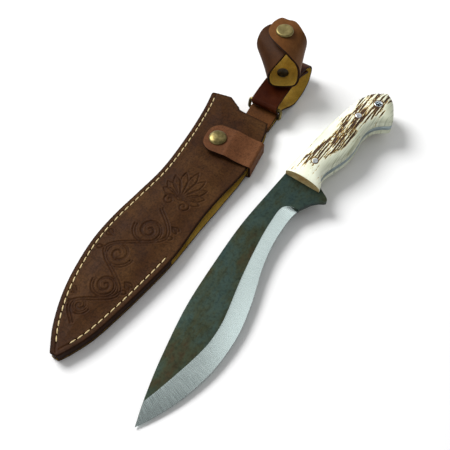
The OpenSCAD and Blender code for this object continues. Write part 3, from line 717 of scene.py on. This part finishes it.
# %% [markdown]
# ## The antler scales
# A scale is a low dome over the tang with upright walls. The bark is left along its crown, so
# furrows run the length of the handle there and fade out on the polished belly and back. They are
# real dents in the mesh, drawn by noise that is stretched along the handle, and the same number
# goes into the bark attribute for the colour. Round the pins and the tube a dark line of glue is
# drawn with that number too.

# %% Model the scales
bark_depth, foot_h, foot_in = 0.75, 0.45, 0.3
# The band of bark: a place along the handle, the band's middle across it and half its width, all as shares
bark_band = np.array([(0.15, 0.55, 0.3), (0.45, 0.43, 0.34), (0.7, 0.5, 0.38), (0.88, 0.68, 0.5),
                      (0.98, 0.5, 0.62)])
# Three sizes of streaks: how strong, and their scales along and across
streaks = ((1, 0.045, 0.8), (0.5, 0.12, 1.9), (0.3, 0.45, 2.4))


def belly_and_back(x):
    return height(handle_belly, x), height(handle_back, x)


def crown(x, y):
    """Height of a polished scale over the tang, as the solid has it."""
    a, b = belly_and_back(x)
    u = (2 * y - a - b) / np.maximum(b - a, 0.01)
    late, tail = np.maximum(0, x / handle_l - 0.75) / 0.25, np.maximum(0, x / handle_l - 0.9) / 0.1
    dome = scale_rim + (scale_t - scale_rim) * (1 - 0.2 * late ** 2) * np.maximum(0, 1 - u * u) ** 0.6
    return dome * (1 - 0.35 * tail ** 2)


def furrow(x, y, v, seed):
    """How deep in the bark each place is, from 0 to 1."""
    far = x / handle_l
    centre, spread = (np.interp(far, bark_band[:, 0], bark_band[:, i]) for i in (1, 2))
    belt = ease(0, 0.4, 1 - abs(v - centre) / spread) * ease(0.06, 0.2, far)
    fore = np.maximum(0, 1 - abs(v - 0.88) / 0.06) * ease(0.16, 0.06, far) * ease(0, 0.02, far)
    streak = sum(share * wander(x, y, seed, *scales) for share, *scales in streaks)
    glue = np.zeros(len(x))
    for pin, across in ((front_pin_at, pin_d), (middle_pin_at, pin_d), (tube_at, tube_d)):
        off = np.hypot(x - pin[0], y - pin[1]) - across / 2
        belt = belt * ease(-0.3, 0.6, off)
        glue = np.maximum(glue, 0.9 * np.maximum(0, 1 - abs(off - 0.3) / 0.6))
    return np.maximum(glue, ease(0, 0.4, streak + 0.76 * np.maximum(belt, 1.3 * fore) - 0.55))


def model_scale(seed, down):
    numbers = {}

    def dome(u, v):
        x = handle_l * 0.998 * (1 - (1 - u) ** 1.4)
        a, b = belly_and_back(x)
        share = (1 - np.cos(np.pi * v)) / 2
        y = a + (b - a) * share
        scratch = np.maximum(0, wander(x, y, seed, 0.05, 1.6))
        # Painted shade over the belly side, with grey scratches in it; the back's very edge gets painted shade
        # too.
        belly_shade_and_scratches = ease(0.42, 0.1, share) * ease(0.05, 0.3, x / handle_l) * (0.45 + 1.1 * scratch)
        numbers["soil_and_shade"] = np.minimum(np.maximum(belly_shade_and_scratches, 0.45 * ease(0.9, 1, share)), 1)
        numbers["bark"] = furrow(x, y, share, seed)
        brim = 0.5 * np.maximum(0, 1 - x / 0.7) ** 2
        return np.column_stack([x, y, crown(x, y) - brim - bark_depth * numbers["bark"]])

    bm = grid(300, 120, dome)
    store(bm, numbers)
    bark = bm.verts.layers.float["bark"]
    for level, inset in ((foot_h, 0), (0, foot_in)):
        for vert in new_corners(bmesh.ops.extrude_edge_only(bm, edges=open_rim(bm))):
            middle = float(sum(belly_and_back(vert.co.x))) / 2
            vert.co.y += math.copysign(min(inset, abs(middle - vert.co.y)), middle - vert.co.y)
            vert.co.z = level
            vert[bark] = 0
    bmesh.ops.contextual_create(bm, geom=open_rim(bm))
    bmesh.ops.remove_doubles(bm, verts=bm.verts, dist=1e-3)
    bmesh.ops.translate(bm, verts=bm.verts, vec=(0, 0, steel_t / 2))
    if down:
        bmesh.ops.scale(bm, verts=bm.verts, vec=(1, 1, -1))
    bmesh.ops.recalc_face_normals(bm, faces=bm.faces)
    for face in bm.faces:
        face.material_index = int(face.normal.x < -0.9 and face.calc_center_median().x < 0.2)
    return bm


for name, seed, down in (("upper_scale", 3.1, False), ("lower_scale", 8.4, True)):
    slab = make_piece(name + "_antler", model_scale(seed, down), on_knife, [antler, antler_end])
    bore(slab, on_tube, tube_hole_r, sharp=50)
    hand_over(slab, [name], "knife")

# %% [markdown]
# ## Pins and lanyard tube
# Two pins are hammered over into low domes, and the tube's ends are flared. All three are spun from
# a profile.

# %% Spin the pins and the tube
pin_dome = 0.5


def pin_profile(place):
    r, h = pin_d / 2, steel_t / 2 + float(crown(*place)) + pin_proud
    dome = [(r * math.cos(t), h - pin_dome + pin_dome * math.sin(t))
            for t in np.linspace(0, math.pi / 2, 6)]
    return [(x, -z) for x, z in reversed(dome)] + dome


for name, place in (("front_pin", front_pin_at), ("middle_pin", middle_pin_at)):
    finish_piece(name + "_head", spun(pin_profile(place)), on_knife @ Matrix.Translation((*place, 0)),
                 [nickel], [name], "knife")
tube_h = steel_t / 2 + float(crown(*tube_at)) + pin_proud
tube_wall = [(tube_bore / 2, 0), (tube_bore / 2, tube_h - 0.6), (tube_bore / 2 + 0.3, tube_h - 0.1),
             (tube_bore / 2 + 0.6, tube_h), (tube_d / 2 - 0.1, tube_h - 0.15), (tube_d / 2, tube_h - 0.5)]
tube_profile = tube_wall + [(r, -z) for r, z in reversed(tube_wall)] + tube_wall[:1]
finish_piece("flared_tube", spun(tube_profile), on_tube, [nickel], ["lanyard_tube"], "knife")

# %% [markdown]
# ## Stitches
# The seams are hand sewn: cream thread dips into a hole, runs a few millimetres in a cut groove and
# dips again. Each visible stitch is a stretched ball. The ends of the stitches are kept, since the
# leather is pricked there.

# %% Sew the seams
slant, stitch_h = 0.07, 0.5


def stitch_ends(seam, first, last):
    """The holes of a seam between two run lengths."""
    count = round((last - first) / stitch_pitch)
    return along(seam, np.linspace(first, last, count + 1))


holes = {"spine_stitching": stitch_ends(spine_seam, seam_in, run_of(spine_seam)[-1] - 1.6 * seam_in),
         "edge_stitching": stitch_ends(edge_seam, 1.8 * seam_in, run_of(edge_seam)[-1] - 0.2 * seam_in)}
for name, ends in holes.items():
    bm = bmesh.new()
    for a, b in zip(ends, ends[1:]):
        turn = math.atan2(b[1] - a[1], b[0] - a[0]) + slant
        length = np.linalg.norm(b - a) - stitch_gap
        for level, tall in ((sheath_t + hair, stitch_h), (thread_h / 2, thread_h / 2 - 1.5 * hair)):
            middle = Matrix.Translation((*(a + b) / 2, level)) @ Matrix.Rotation(turn, 4, "Z")
            bmesh.ops.create_uvsphere(bm, u_segments=10, v_segments=6, radius=1,
                                      matrix=middle @ Matrix.Diagonal((length / 2, thread_w / 2, tall, 1)))
    finish_piece(name + "_thread", bm, on_sheath, [thread], [name], "sheath")

# %% [markdown]
# ## The panels
# Front and back are cut to one outline. A panel is a grid from toe to throat and from edge to
# spine. Its outer face carries the relief: a rounded rim, the sewing groove with its holes and, on
# the front, the tooling. The rim is then extruded to the other face, which one large face closes.

# %% Helpers for the panels
slot_end, slot_gape = -45, 3
rim_depth, groove_depth, hole_depth = 0.8, 0.42, 0.5


def nearest(points):
    """A search tree that tells how far a place is from the nearest of many points."""
    tree = kdtree.KDTree(len(points))
    for index, point in enumerate(points):
        tree.insert((*point, 0), index)
    tree.balance()
    return lambda xy: np.array([tree.find((*p, 0))[2] for p in xy])


def drawn_back(x):
    """How far the front's free edge has shrunk back from the back's along the open slot."""
    return slot_gape * np.sin(np.pi * np.clip((x - open_from) / (slot_end - open_from), 0, 1)) ** 2


def panel_place(u, v, shrunk):
    """Where a share of the length and of the width falls on the panel."""
    v = 0.5 * v + 0.25 * (1 - np.cos(np.pi * v))
    order = np.argsort(throat[:, 1])
    y_end = throat[0, 1] + v * (throat[-1, 1] - throat[0, 1])
    x = sheath_l * (u - 1) + np.interp(y_end, throat[order, 1], throat[order, 0]) * ease(0.8, 1, u)
    low, high = height(sheath_edge, np.minimum(x, 0)) + shrunk * drawn_back(x), height(sheath_spine, x)
    return np.column_stack([x, low + v * (high - low)])


toe = np.array([sheath_spine[-1], sheath_edge[0]])
rim_points = np.vstack([spaced(sheath_spine, 1200), spaced(sheath_edge, 1200), spaced(throat, 300),
                        spaced(toe, 40)])
from_back_rim = nearest(rim_points)
free_edge = rim_points[:, 1] < height(sheath_edge, rim_points[:, 0]) + 0.5
rim_points[:, 1] += free_edge * drawn_back(rim_points[:, 0])
from_front_rim = nearest(rim_points)
from_seam = nearest(np.vstack([spaced(spine_seam, 1200), spaced(edge_seam, 500)]))
from_hole = nearest(np.vstack(list(holes.values())))


def model_panel(columns, rows, face_z, other_z, relief, shrunk):
    """A panel whose face at face_z carries the relief, given outwards."""
    numbers = {}
    out = math.copysign(1, face_z - other_z)

    def face(u, v):
        xy = panel_place(u, v, shrunk)
        level, found = relief(xy)
        numbers.update(found)
        return np.column_stack([xy, face_z + out * level])

    bm = grid(columns, rows, face)
    store(bm, numbers)
    for vert in new_corners(bmesh.ops.extrude_edge_only(bm, edges=open_rim(bm))):
        vert.co.z = other_z
    for flesh_face in bmesh.ops.contextual_create(bm, geom=open_rim(bm))["faces"]:
        flesh_face.material_index = 1
    bmesh.ops.recalc_face_normals(bm, faces=bm.faces)
    for steep in bm.faces:
        if abs(steep.normal.z) < 0.4:
            steep.material_index = 2
    return bm


def sewn_relief(xy, d):
    """Rounded rim, sewing groove and pricked holes; d is how far each place is from the rim."""
    rounding = -rim_depth * np.maximum(0, 1 - d / 1.1) ** 2
    seam, hole = from_seam(xy), from_hole(xy)
    groove, prick = groove_depth * np.exp(-(seam / 0.8) ** 2), hole_depth * np.exp(-(hole / 0.5) ** 2)
    return rounding - groove - prick, seam, hole


print("panel rim", len(rim_points), "points")

# %% [markdown]
# ### The tooling
# The front is stamped with a common leather ornament of our own drawing: a fan of petals that opens
# towards the throat, and below it a running scroll with leaves. Each stroke is a line; the leather
# sinks along it and swells a little beside it.

# %% Draw the tooling


def petal(base, turn, length, width):
    t = np.linspace(0, 1, 40)
    half = width / 2 * np.sin(np.pi * t ** 1.5)
    c, s = math.cos(math.radians(turn)), math.sin(math.radians(turn))
    out = np.concatenate([t, t[::-1]])[:, None] * length
    side = np.concatenate([half, -half[::-1]])[:, None]
    return np.array(base) + out * (c, s) + side * (-s, c)


def volute(centre, radius, start, turns, inner=0.12):
    t = np.linspace(0, 1, int(90 * abs(turns)))
    r = radius * (inner + (1 - inner) * (1 - t))
    turn = math.radians(start) + 2 * math.pi * turns * t
    return np.array(centre) + r[:, None] * np.column_stack([np.cos(turn), np.sin(turn)])


fan_base, double_line, stroke_step = (-110, 8), 2.2, 0.25
strokes = [petal(fan_base, turn, 30 - abs(turn) * 0.14, 6.4) for turn in range(-84, 85, 21)]
strokes += [volute((fan_base[0] - 6, fan_base[1] + side * 7), 6, -side * 40, side * 1.4)
            for side in (-1, 1)]
strokes += [volute(fan_base, 2.6, 0, 1, 1.0)]
scroll_at = [(-150, 12, 14.5, 1), (-181, 21, 14, -1), (-210, 13, 12, 1), (-234, 20, 8.5, -1)]
for x, y, r, side in scroll_at:
    for gap in (0, double_line):
        strokes.append(volute((x, y), r - gap, side * 90, side * 1.9))
    for turn in (-60, 0, 60):
        strokes.append(petal((x + r * 0.98 * math.cos(math.radians(turn - 30 * side)),
                              y - side * r * 0.98), -side * (90 + turn * 0.5), 7.5, 3.4))
stem = smooth([(-128, 16)] + [(x, y - side * r) for x, y, r, side in scroll_at] + [(-250, 17)])
strokes += [stem, moved_in(stem, double_line)]
stroke_points = np.vstack([spaced(stroke, int(run_of(stroke)[-1] / stroke_step) + 2) for stroke in strokes])
from_stroke = nearest(stroke_points)
print("tooling:", len(strokes), "strokes,", len(stroke_points), "points")

# %% [markdown]
# ### Front and back
# The front swells a little over the pocket, since the leather was wet when it was sewn round the
# blade. Along the open slot its free edge has dried shorter than the back's, so a strip of the
# back's flesh side shows.

# %% Model the panels
swell_h, bead_h, wave_h, stroke_depth = 0.9, 0.18, 0.35, 0.6
snap_at = np.array((on_sheath.inverted() @ on_closure @ Vector((0, closure_snap, flap_z)))[:2])


def front_relief(xy):
    d = from_front_rim(xy)
    level, seam, hole = sewn_relief(xy, d)
    stroke = from_stroke(xy)
    inside = ease(2, 4, d) * ease(0.8, 2.4, seam)
    dent = np.exp(-(stroke / 0.5) ** 2) * inside
    under_snap = ease(9, 24, np.linalg.norm(xy - snap_at, axis=1))
    bead = bead_h * np.exp(-((stroke - 1.3) / 0.6) ** 2) * inside
    swell = swell_h * ease(welt_w - 2, welt_w + 12, d) + bead
    wave = wander(*xy.T, 1.7, 0.02, 0.03) * wave_h * ease(4, 16, d)
    dark_rim = 0.75 * np.exp(-(d / 1.3) ** 2) + 0.5 * np.exp(-(hole / 0.75) ** 2)
    level = level + under_snap * (swell + wave) - stroke_depth * dent
    return level, {"tooling": 0.55 * dent, "rim": np.minimum(dark_rim, 1)}


def back_relief(xy):
    level, seam, _ = sewn_relief(xy, from_back_rim(xy))
    groove = -(thread_h + hair) * (seam < thread_w / 2 + 0.1)
    return np.minimum(level, 0) * (seam > 2) + groove, {}


finish_piece("tooled_front", model_panel(600, 126, sheath_t, front_z, front_relief, 1), on_sheath,
             [front_hide, flesh, rim], ["front_panel"], "sheath", sharp=60)
finish_piece("plain_back", model_panel(340, 84, 0, leather_t, back_relief, 0), on_sheath,
             [back_hide, flesh, rim], ["back_panel"], "sheath", sharp=60)

# %% [markdown]
# ## The welts
# Between the panels a strip of leather follows each seam, so that the blade meets leather and not
# thread. From outside only its rubbed edge shows, a hair behind the panels' edges.

# %% Model the welts
set_back = 0.02


def model_welt(outer, inner, count=160):
    outer, inner = spaced(outer, count + 1), spaced(inner, count + 1)

    def strip(u, v):
        k = step_of(u, count)
        share = set_back + (1 - set_back) * v[:, None]
        place = outer[k] + share * (inner[k] - outer[k])
        return np.column_stack([place, np.full(len(u), leather_t + hair)])

    bm = grid(count, 3, strip)
    lifted = new_corners(bmesh.ops.extrude_face_region(bm, geom=bm.faces[:], use_keep_orig=True))
    bmesh.ops.translate(bm, verts=lifted, vec=(0, 0, welt_t - 2 * hair))
    bmesh.ops.recalc_face_normals(bm, faces=bm.faces)
    return bm


spine_inner = moved_in(sheath_spine, welt_w)
edge_outer = sheath_edge[sheath_edge[:, 0] <= open_from]
edge_inner = moved_in(edge_outer, welt_w)
edge_inner[:, 1] = np.minimum(edge_inner[:, 1], height(spine_inner, edge_inner[:, 0]) - 0.2)
edge_inner[:, 1] = np.maximum(edge_inner[:, 1], height(sheath_edge, edge_inner[:, 0]) + 0.4)
toe_end = (sheath_spine[-1] + sheath_edge[0]) / 2
spine_outer = np.vstack([sheath_spine, toe_end])
spine_inner = np.vstack([spine_inner, spine_inner[-1] + (0.5, -0.5)])
finish_piece("spine_welt_strip", model_welt(spine_outer, spine_inner), on_sheath, [rim],
             ["spine_welt"], "sheath")
finish_piece("edge_welt_strip", model_welt(edge_outer, edge_inner), on_sheath, [rim],
             ["edge_welt"], "sheath")

# %% [markdown]
# ## Straps
# A strap is a long grid that follows a path and gets its thickness from a Solidify modifier: grain
# outside, flesh inside, rubbed edges.

# %% Helper for straps


def model_strap(path, columns, rows, spread):
    """A strap along a path, grain outside. spread(a, b, side, rest) places a point of the path, by its
    two coordinates, its share across the strap and the length that is left."""
    line = spaced(path, columns + 1)
    length = run_of(line)[-1]

    def sheet(u, v):
        p = line[step_of(u, columns)]
        return np.column_stack(spread(p[:, 0], p[:, 1], v - 0.5, (1 - u) * length))

    bm = grid(columns, rows, sheet, length, closure_w)
    bmesh.ops.reverse_faces(bm, faces=bm.faces)
    return bm


print("strap helper ready")

# %% [markdown]
# ### The closure strap
# It starts under the back, comes round the open edge and lies over the front with a rounded end,
# held by a snap.

# %% Model the closure strap
bend_r = 1.6
level = closure_snap - cap_d / 2
closure_path = np.vstack([
    [(closure_tail, -strap_t / 2)],
    arc((closure_wall + bend_r, bend_r - strap_t / 2), bend_r, 270, 180),
    arc((closure_wall + bend_r, bend_z - bend_r), bend_r, 180, 90),
    smooth([(0.15 * level, bend_z), (0.45 * level, (2 * bend_z + flap_z) / 3), (0.8 * level, flap_z),
            (level, flap_z), (closure_reach, flap_z)])])


def closure_spread(y, z, side, rest):
    end = np.sqrt(np.maximum(0, end_r ** 2 - np.maximum(0, end_r - rest) ** 2)) - end_r
    return side * (closure_w + 2 * end), y, z


closure_band = finish_piece("closure_band", model_strap(closure_path, 190, 24, closure_spread), on_closure,
                            [strap_hide, flesh, rim], ["closure_strap", "closure_flap"])
thicken(closure_band, strap_t, 0.6)
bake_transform(closure_band, "sheath", "closure", on_closure @ Vector((0, closure_wall, bend_z - 4.6)),
         on_closure @ Vector((0, closure_wall, bend_z - strap_t / 2 - 0.1)))

# %% [markdown]
# ### The hanger tab
# The back panel runs on as a narrow tab. It is folded round the ring and its end is tucked back
# into the mouth, grain side out.

# %% Model the hanger tab
eye_r = eye_gap + leather_t / 2
tuck_z = leather_t * 1.5
tab_eye = (tab_reach, leather_t + eye_gap)
tab_path = np.vstack([
    [(-2, leather_t / 2)],
    arc(tab_eye, eye_r, -90, 90),
    smooth([(tab_reach - 4, tab_eye[1] + eye_r - 0.8), (1, tuck_z + 0.7), (-4, tuck_z),
            (-tab_tuck / 2, tuck_z), (-tab_tuck, tuck_z)])])


def tab_spread(x, z, side, rest):
    return x, hang_y + side * (tab_w - 0.2), z


hanger_tab = finish_piece("hanger_tab", model_strap(tab_path, 110, 20, tab_spread), on_sheath,
                          [back_hide, flesh, rim], ["back_panel"], "sheath")
thicken(hanger_tab, leather_t - 3 * hair, 0.5)

# %% [markdown]
# ### The belt loop
# A strap folded round the ring comes back over itself, which leaves an open loop for the belt. It
# lies a little skewed, so its sides lean.

# %% Model the belt loop
loop_z = loop_drop + strap_t
far = loop_z - strap_t / 2
loop_eye, top, to_size = eye_gap + strap_t / 2, loop_top, np.array([loop_l, 1])
loop_path = np.vstack([
    smooth(np.array([(0.9, -0.6 * top), (0.71, 0.6 * top), (rivet_share, top), (0.33, 1.1 * top),
                     (0.15, top)]) * to_size),
    arc((0, 0), loop_eye, 75, 282),
    smooth(np.array([(0.17, 0.55 - 0.52 * far), (0.38, -0.92 * far), (0.6, -0.985 * far),
                     (0.83, -0.8 * far), (0.96, -0.45 * far), (1, -0.2 * far), (0.96, 0.2 * top),
                     (0.86, 0.9 * top), (0.71, 0.6 * top + loop_layer), (rivet_share, top + loop_layer),
                     (0.4, 1.05 * top + loop_layer)]) * to_size)])


def loop_spread(x, z, side, rest):
    return x, loop_skew * z + side * loop_w, z


belt_loop = finish_piece("belt_strap", model_strap(loop_path, 260, 22, loop_spread), on_loop,
                         [loop_hide, flesh, rim], ["belt_loop"], "loop")
thicken(belt_loop, strap_t - 2 * hair, 0.6)

# %% [markdown]
# ### The handle keeper
# The keeper wraps the knife's handle. It is one strap, riveted at its middle, whose two arms rise
# and cross on top, where a snap holds them. Its front edge and its rear edge are two lines in
# space, and the strap spans them. It is modelled in one piece and then parted under the rivet: the
# outer arm bends open, the inner arm stays. The outer end is rounded, and the rear edge is lifted a
# little where the arms part.
# The inner arm takes a darker copy of the hide, which is painted shade.

# %% Model the keeper
front_edge, rear_edge = smooth(keeper_front), smooth(keeper_rear)
keeper_columns, keeper_rows = len(front_edge) - 1, 26
keeper_run = run_of((front_edge + rear_edge) / 2)
under_rivet = keeper_foot / (len(keeper_front) - 1)
rear_lip, lip_run, keeper_end_r, bend_reach = 5, 0.07, 7, 3


def keeper_sheet(u, v):
    k = step_of(u, keeper_columns)
    across = rear_edge[k] - front_edge[k]
    rest = np.minimum(keeper_run[-1] - keeper_run[k], keeper_end_r)
    inset = keeper_end_r - np.sqrt(rest * (2 * keeper_end_r - rest))
    round_off = 2 * inset / np.linalg.norm(across, axis=1)
    place = front_edge[k] + (0.5 + (v - 0.5) * (1 - round_off))[:, None] * across
    place[:, 2] += rear_lip * ease(0.6, 1, v) * np.exp(-((u - under_rivet) / lip_run) ** 2)
    return place


bm = grid(keeper_columns, keeper_rows, keeper_sheet, 1, 0.2)
bmesh.ops.reverse_faces(bm, faces=bm.faces)
whole_keeper = make_piece("whole keeper", bm, on_keeper, [keeper_hide, flesh, rim])
thicken(whole_keeper, strap_t - 2 * hair, 0.6)
arms = []
for name, outer in (("keeper_inner_arm", False), ("keeper_outer_arm", True)):
    bm = bmesh.new()
    bm.from_mesh(whole_keeper.data)
    uv = bm.loops.layers.uv["grain"]
    others = [face for face in bm.faces
              if (sum(loop[uv].uv.x for loop in face.loops) / len(face.loops) > under_rivet * MM) != outer]
    bmesh.ops.delete(bm, geom=others, context="FACES")
    for face in bmesh.ops.holes_fill(bm, edges=open_rim(bm), sides=0)["faces"]:
        face.material_index = 2
    # The inner arm takes the darker copy of the hide, a painted shade.
    grain = keeper_hide if outer else painted_shade_hide
    arms.append(make_piece(name, bm, Matrix.Identity(4), [grain, flesh, rim]))
bpy.data.objects.remove(whole_keeper)
hand_over(arms[0], ["keeper_strap"], "keeper")
hand_over(arms[1], ["keeper_flap"])
keeper_middle = (keeper_front + keeper_rear) / 2
middle_line = Vector(keeper_middle[keeper_bend])
upwards = Vector(keeper_middle[keeper_bend + 1] - keeper_middle[keeper_bend - 1]).normalized() * bend_reach
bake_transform(arms[1], "keeper", "keeper_top", on_keeper @ (middle_line - upwards),
         on_keeper @ (middle_line + upwards))

# %% [markdown]
# ## Snaps and rivets
# The closure's cap is a low dome of antiqued brass and the keeper's is a flat disc. Both have their
# barrel, which is rolled over inside the socket. The keeper turns on a blackened rivet.

# %% Spin the caps and the rivet
cap_r, skirt_h, barrel_r, roll_r, roll_low, roll_high = cap_d / 2, 0.7, 2, 3.2, -1.3, -0.8
barrel = [(0, roll_low), (roll_r, roll_low), (roll_r, roll_high), (barrel_r, roll_high),
          (barrel_r, strap_t), (cap_r - 0.5, strap_t), (cap_r, strap_t + 0.25), (cap_r, strap_t + skirt_h)]
dome_cap = barrel + [(cap_r * math.cos(t), strap_t + skirt_h + (cap_h - skirt_h) * math.sin(t))
                     for t in np.linspace(0.12, math.pi / 2, 14)]
flat_cap = barrel + [(cap_r - inset, strap_t + rise)
                     for inset, rise in ((0.15, 1.5), (0.6, 2.0), (1.4, 2.2), (2.2, 2.1), (cap_r, 2.15))]
on_closure_snap = on_closure @ Matrix.Translation((0, closure_snap, flap_z - strap_t / 2))
on_keeper_snap = on_keeper @ Matrix.Translation((keeper_snap_x, 0, outer_z - strap_t / 2))
finish_piece("closure_dome", spun(dome_cap, 64), on_closure_snap, [brass],
             ["closure_cap"], "closure")
finish_piece("keeper_disc", spun(flat_cap, 64), on_keeper_snap, [dull_brass],
             ["keeper_cap"], "keeper_top")
head_z, head_lip, head_dome = strap_t + swing_gap, 0.3, 1.4
shank = loop_layer + strap_t / 2 + swing_gap + strap_t * 1.5
shank_z = head_z + 0.2 - shank - head_h
rivet_profile = [(0, shank_z), (rivet_d / 2, shank_z), (rivet_d / 2, head_z), (head_d / 2 - 0.2, head_z)]
rivet_profile += [(head_d / 2 * math.cos(t), head_z + head_lip + head_dome * math.sin(t))
                  for t in np.linspace(0, math.pi / 2, 9)]
finish_piece("rivet_head", spun(rivet_profile), on_keeper, [black_rivet],
             ["keeper_rivet"], "loop")

# %% [markdown]
# ## Small solids that stay
# Rivets, studs, posts, sockets, springs and the ring are already the right shape as solids, so they
# only get their metal.

# %% Give the remaining solids their metal
kept = dict.fromkeys(["hanger_ring", "closure_rivets", "tab_rivets", "closure_stud", "closure_post",
                      "closure_socket", "keeper_stud", "keeper_post", "keeper_socket"], brass)
kept |= {"keeper_burr": black_rivet, "closure_spring": bright_wire, "keeper_spring": bright_wire}
for name, metal in kept.items():
    solid = frame["nodes"][name]
    solid.data.materials.clear()
    solid.data.materials.append(metal)
print("solids kept:", len(kept))

# %% [markdown]
# ## Table, light and camera
# A pale table, a soft sky and one large lamp behind the knife, so that its shadow falls forwards.
# Polished steel shows what it faces, so the sky is shaped for it. It is darker overhead, which
# shades the point of the blade, and darker in front, which keeps the flats dark. One small bright
# window stands where the belly of the ground edge mirrors it.

# %% Stage
table_half, below = 3, 0.0003
table_top, where = new_finish("pale table", Roughness=0.9, Specular_IOR_Level=0.0)
join(table_top, Base_Color=ramp(table_top, noisy(table_top, where, 3), (0.3, 0.93), (0.7, 0.95)))
bm = bmesh.new()
bmesh.ops.create_grid(bm, x_segments=1, y_segments=1, size=table_half)
bmesh.ops.translate(bm, verts=bm.verts, vec=(0, 0, -below))
floor = make_piece("table", bm, Matrix.Identity(4), [table_top])

sky = bpy.data.worlds.new("studio sky")
sky.use_nodes = True
bpy.context.scene.world = sky
looking = add(sky, "TexCoord").outputs["Generated"]
half = (0.5, 0.5, 0.5)
mapped = add(sky, "Mapping", {"Vector": looking, "Location": half, "Scale": half}).outputs["Vector"]
facing = add(sky, "SeparateXYZ", {"Vector": mapped}).outputs
glow = ramp(sky, facing["Z"], (0.5, 0.85), (0.8, 0.9), (0.9, 0.72), (0.95, 0.4), (1.0, 0.16))
glow = mixed(sky, 1.0, glow, ramp(sky, facing["Y"], (0.0, 0.25), (0.5, 1.0)), "MULTIPLY")
window_at = (0.34, -0.18, 0.923)
window = add(sky, "VectorMath", {0: looking, 1: window_at}, operation="DOT_PRODUCT").outputs["Value"]
pane = ramp(sky, facing["X"], (0.56, 0.1), (0.62, 1.45), (0.65, 1.3), (0.7, 0.5), (0.74, 0.25))
pane = mixed(sky, 1.0, ramp(sky, window, (0.955, 0.0), (0.985, 1.0)), pane, "MULTIPLY")
glow = mixed(sky, 1.0, glow, pane, "ADD")
join(sky, Color=glow, Strength=0.8)

key = bpy.data.lights.new("key lamp", "AREA")
key.shape, key.size, key.energy = "DISK", 1.4, 76
lamp = into_scene("key lamp", key)
lamp.location = (0.3, 1.9, 1.9)
lamp.rotation_euler = (-lamp.location).to_track_quat("-Z", "Y").to_euler()

aim, distance = Vector((-0.00533, -0.00187, 0)), 0.6081
azimuth, elevation = math.radians(-58.5), math.radians(58)
view = bpy.data.cameras.new("camera")
view.angle = math.radians(35)
camera = into_scene("camera", view)
level_run = math.cos(elevation)
away = Vector((-math.sin(azimuth) * level_run, math.cos(azimuth) * level_run, -math.sin(elevation)))
camera.location = aim - distance * away
camera.rotation_euler = away.to_track_quat("-Z", "Y").to_euler()
bpy.context.scene.camera = camera
bpy.context.scene.view_settings.view_transform = "Standard"
print("camera at", [round(c, 3) for c in camera.location])
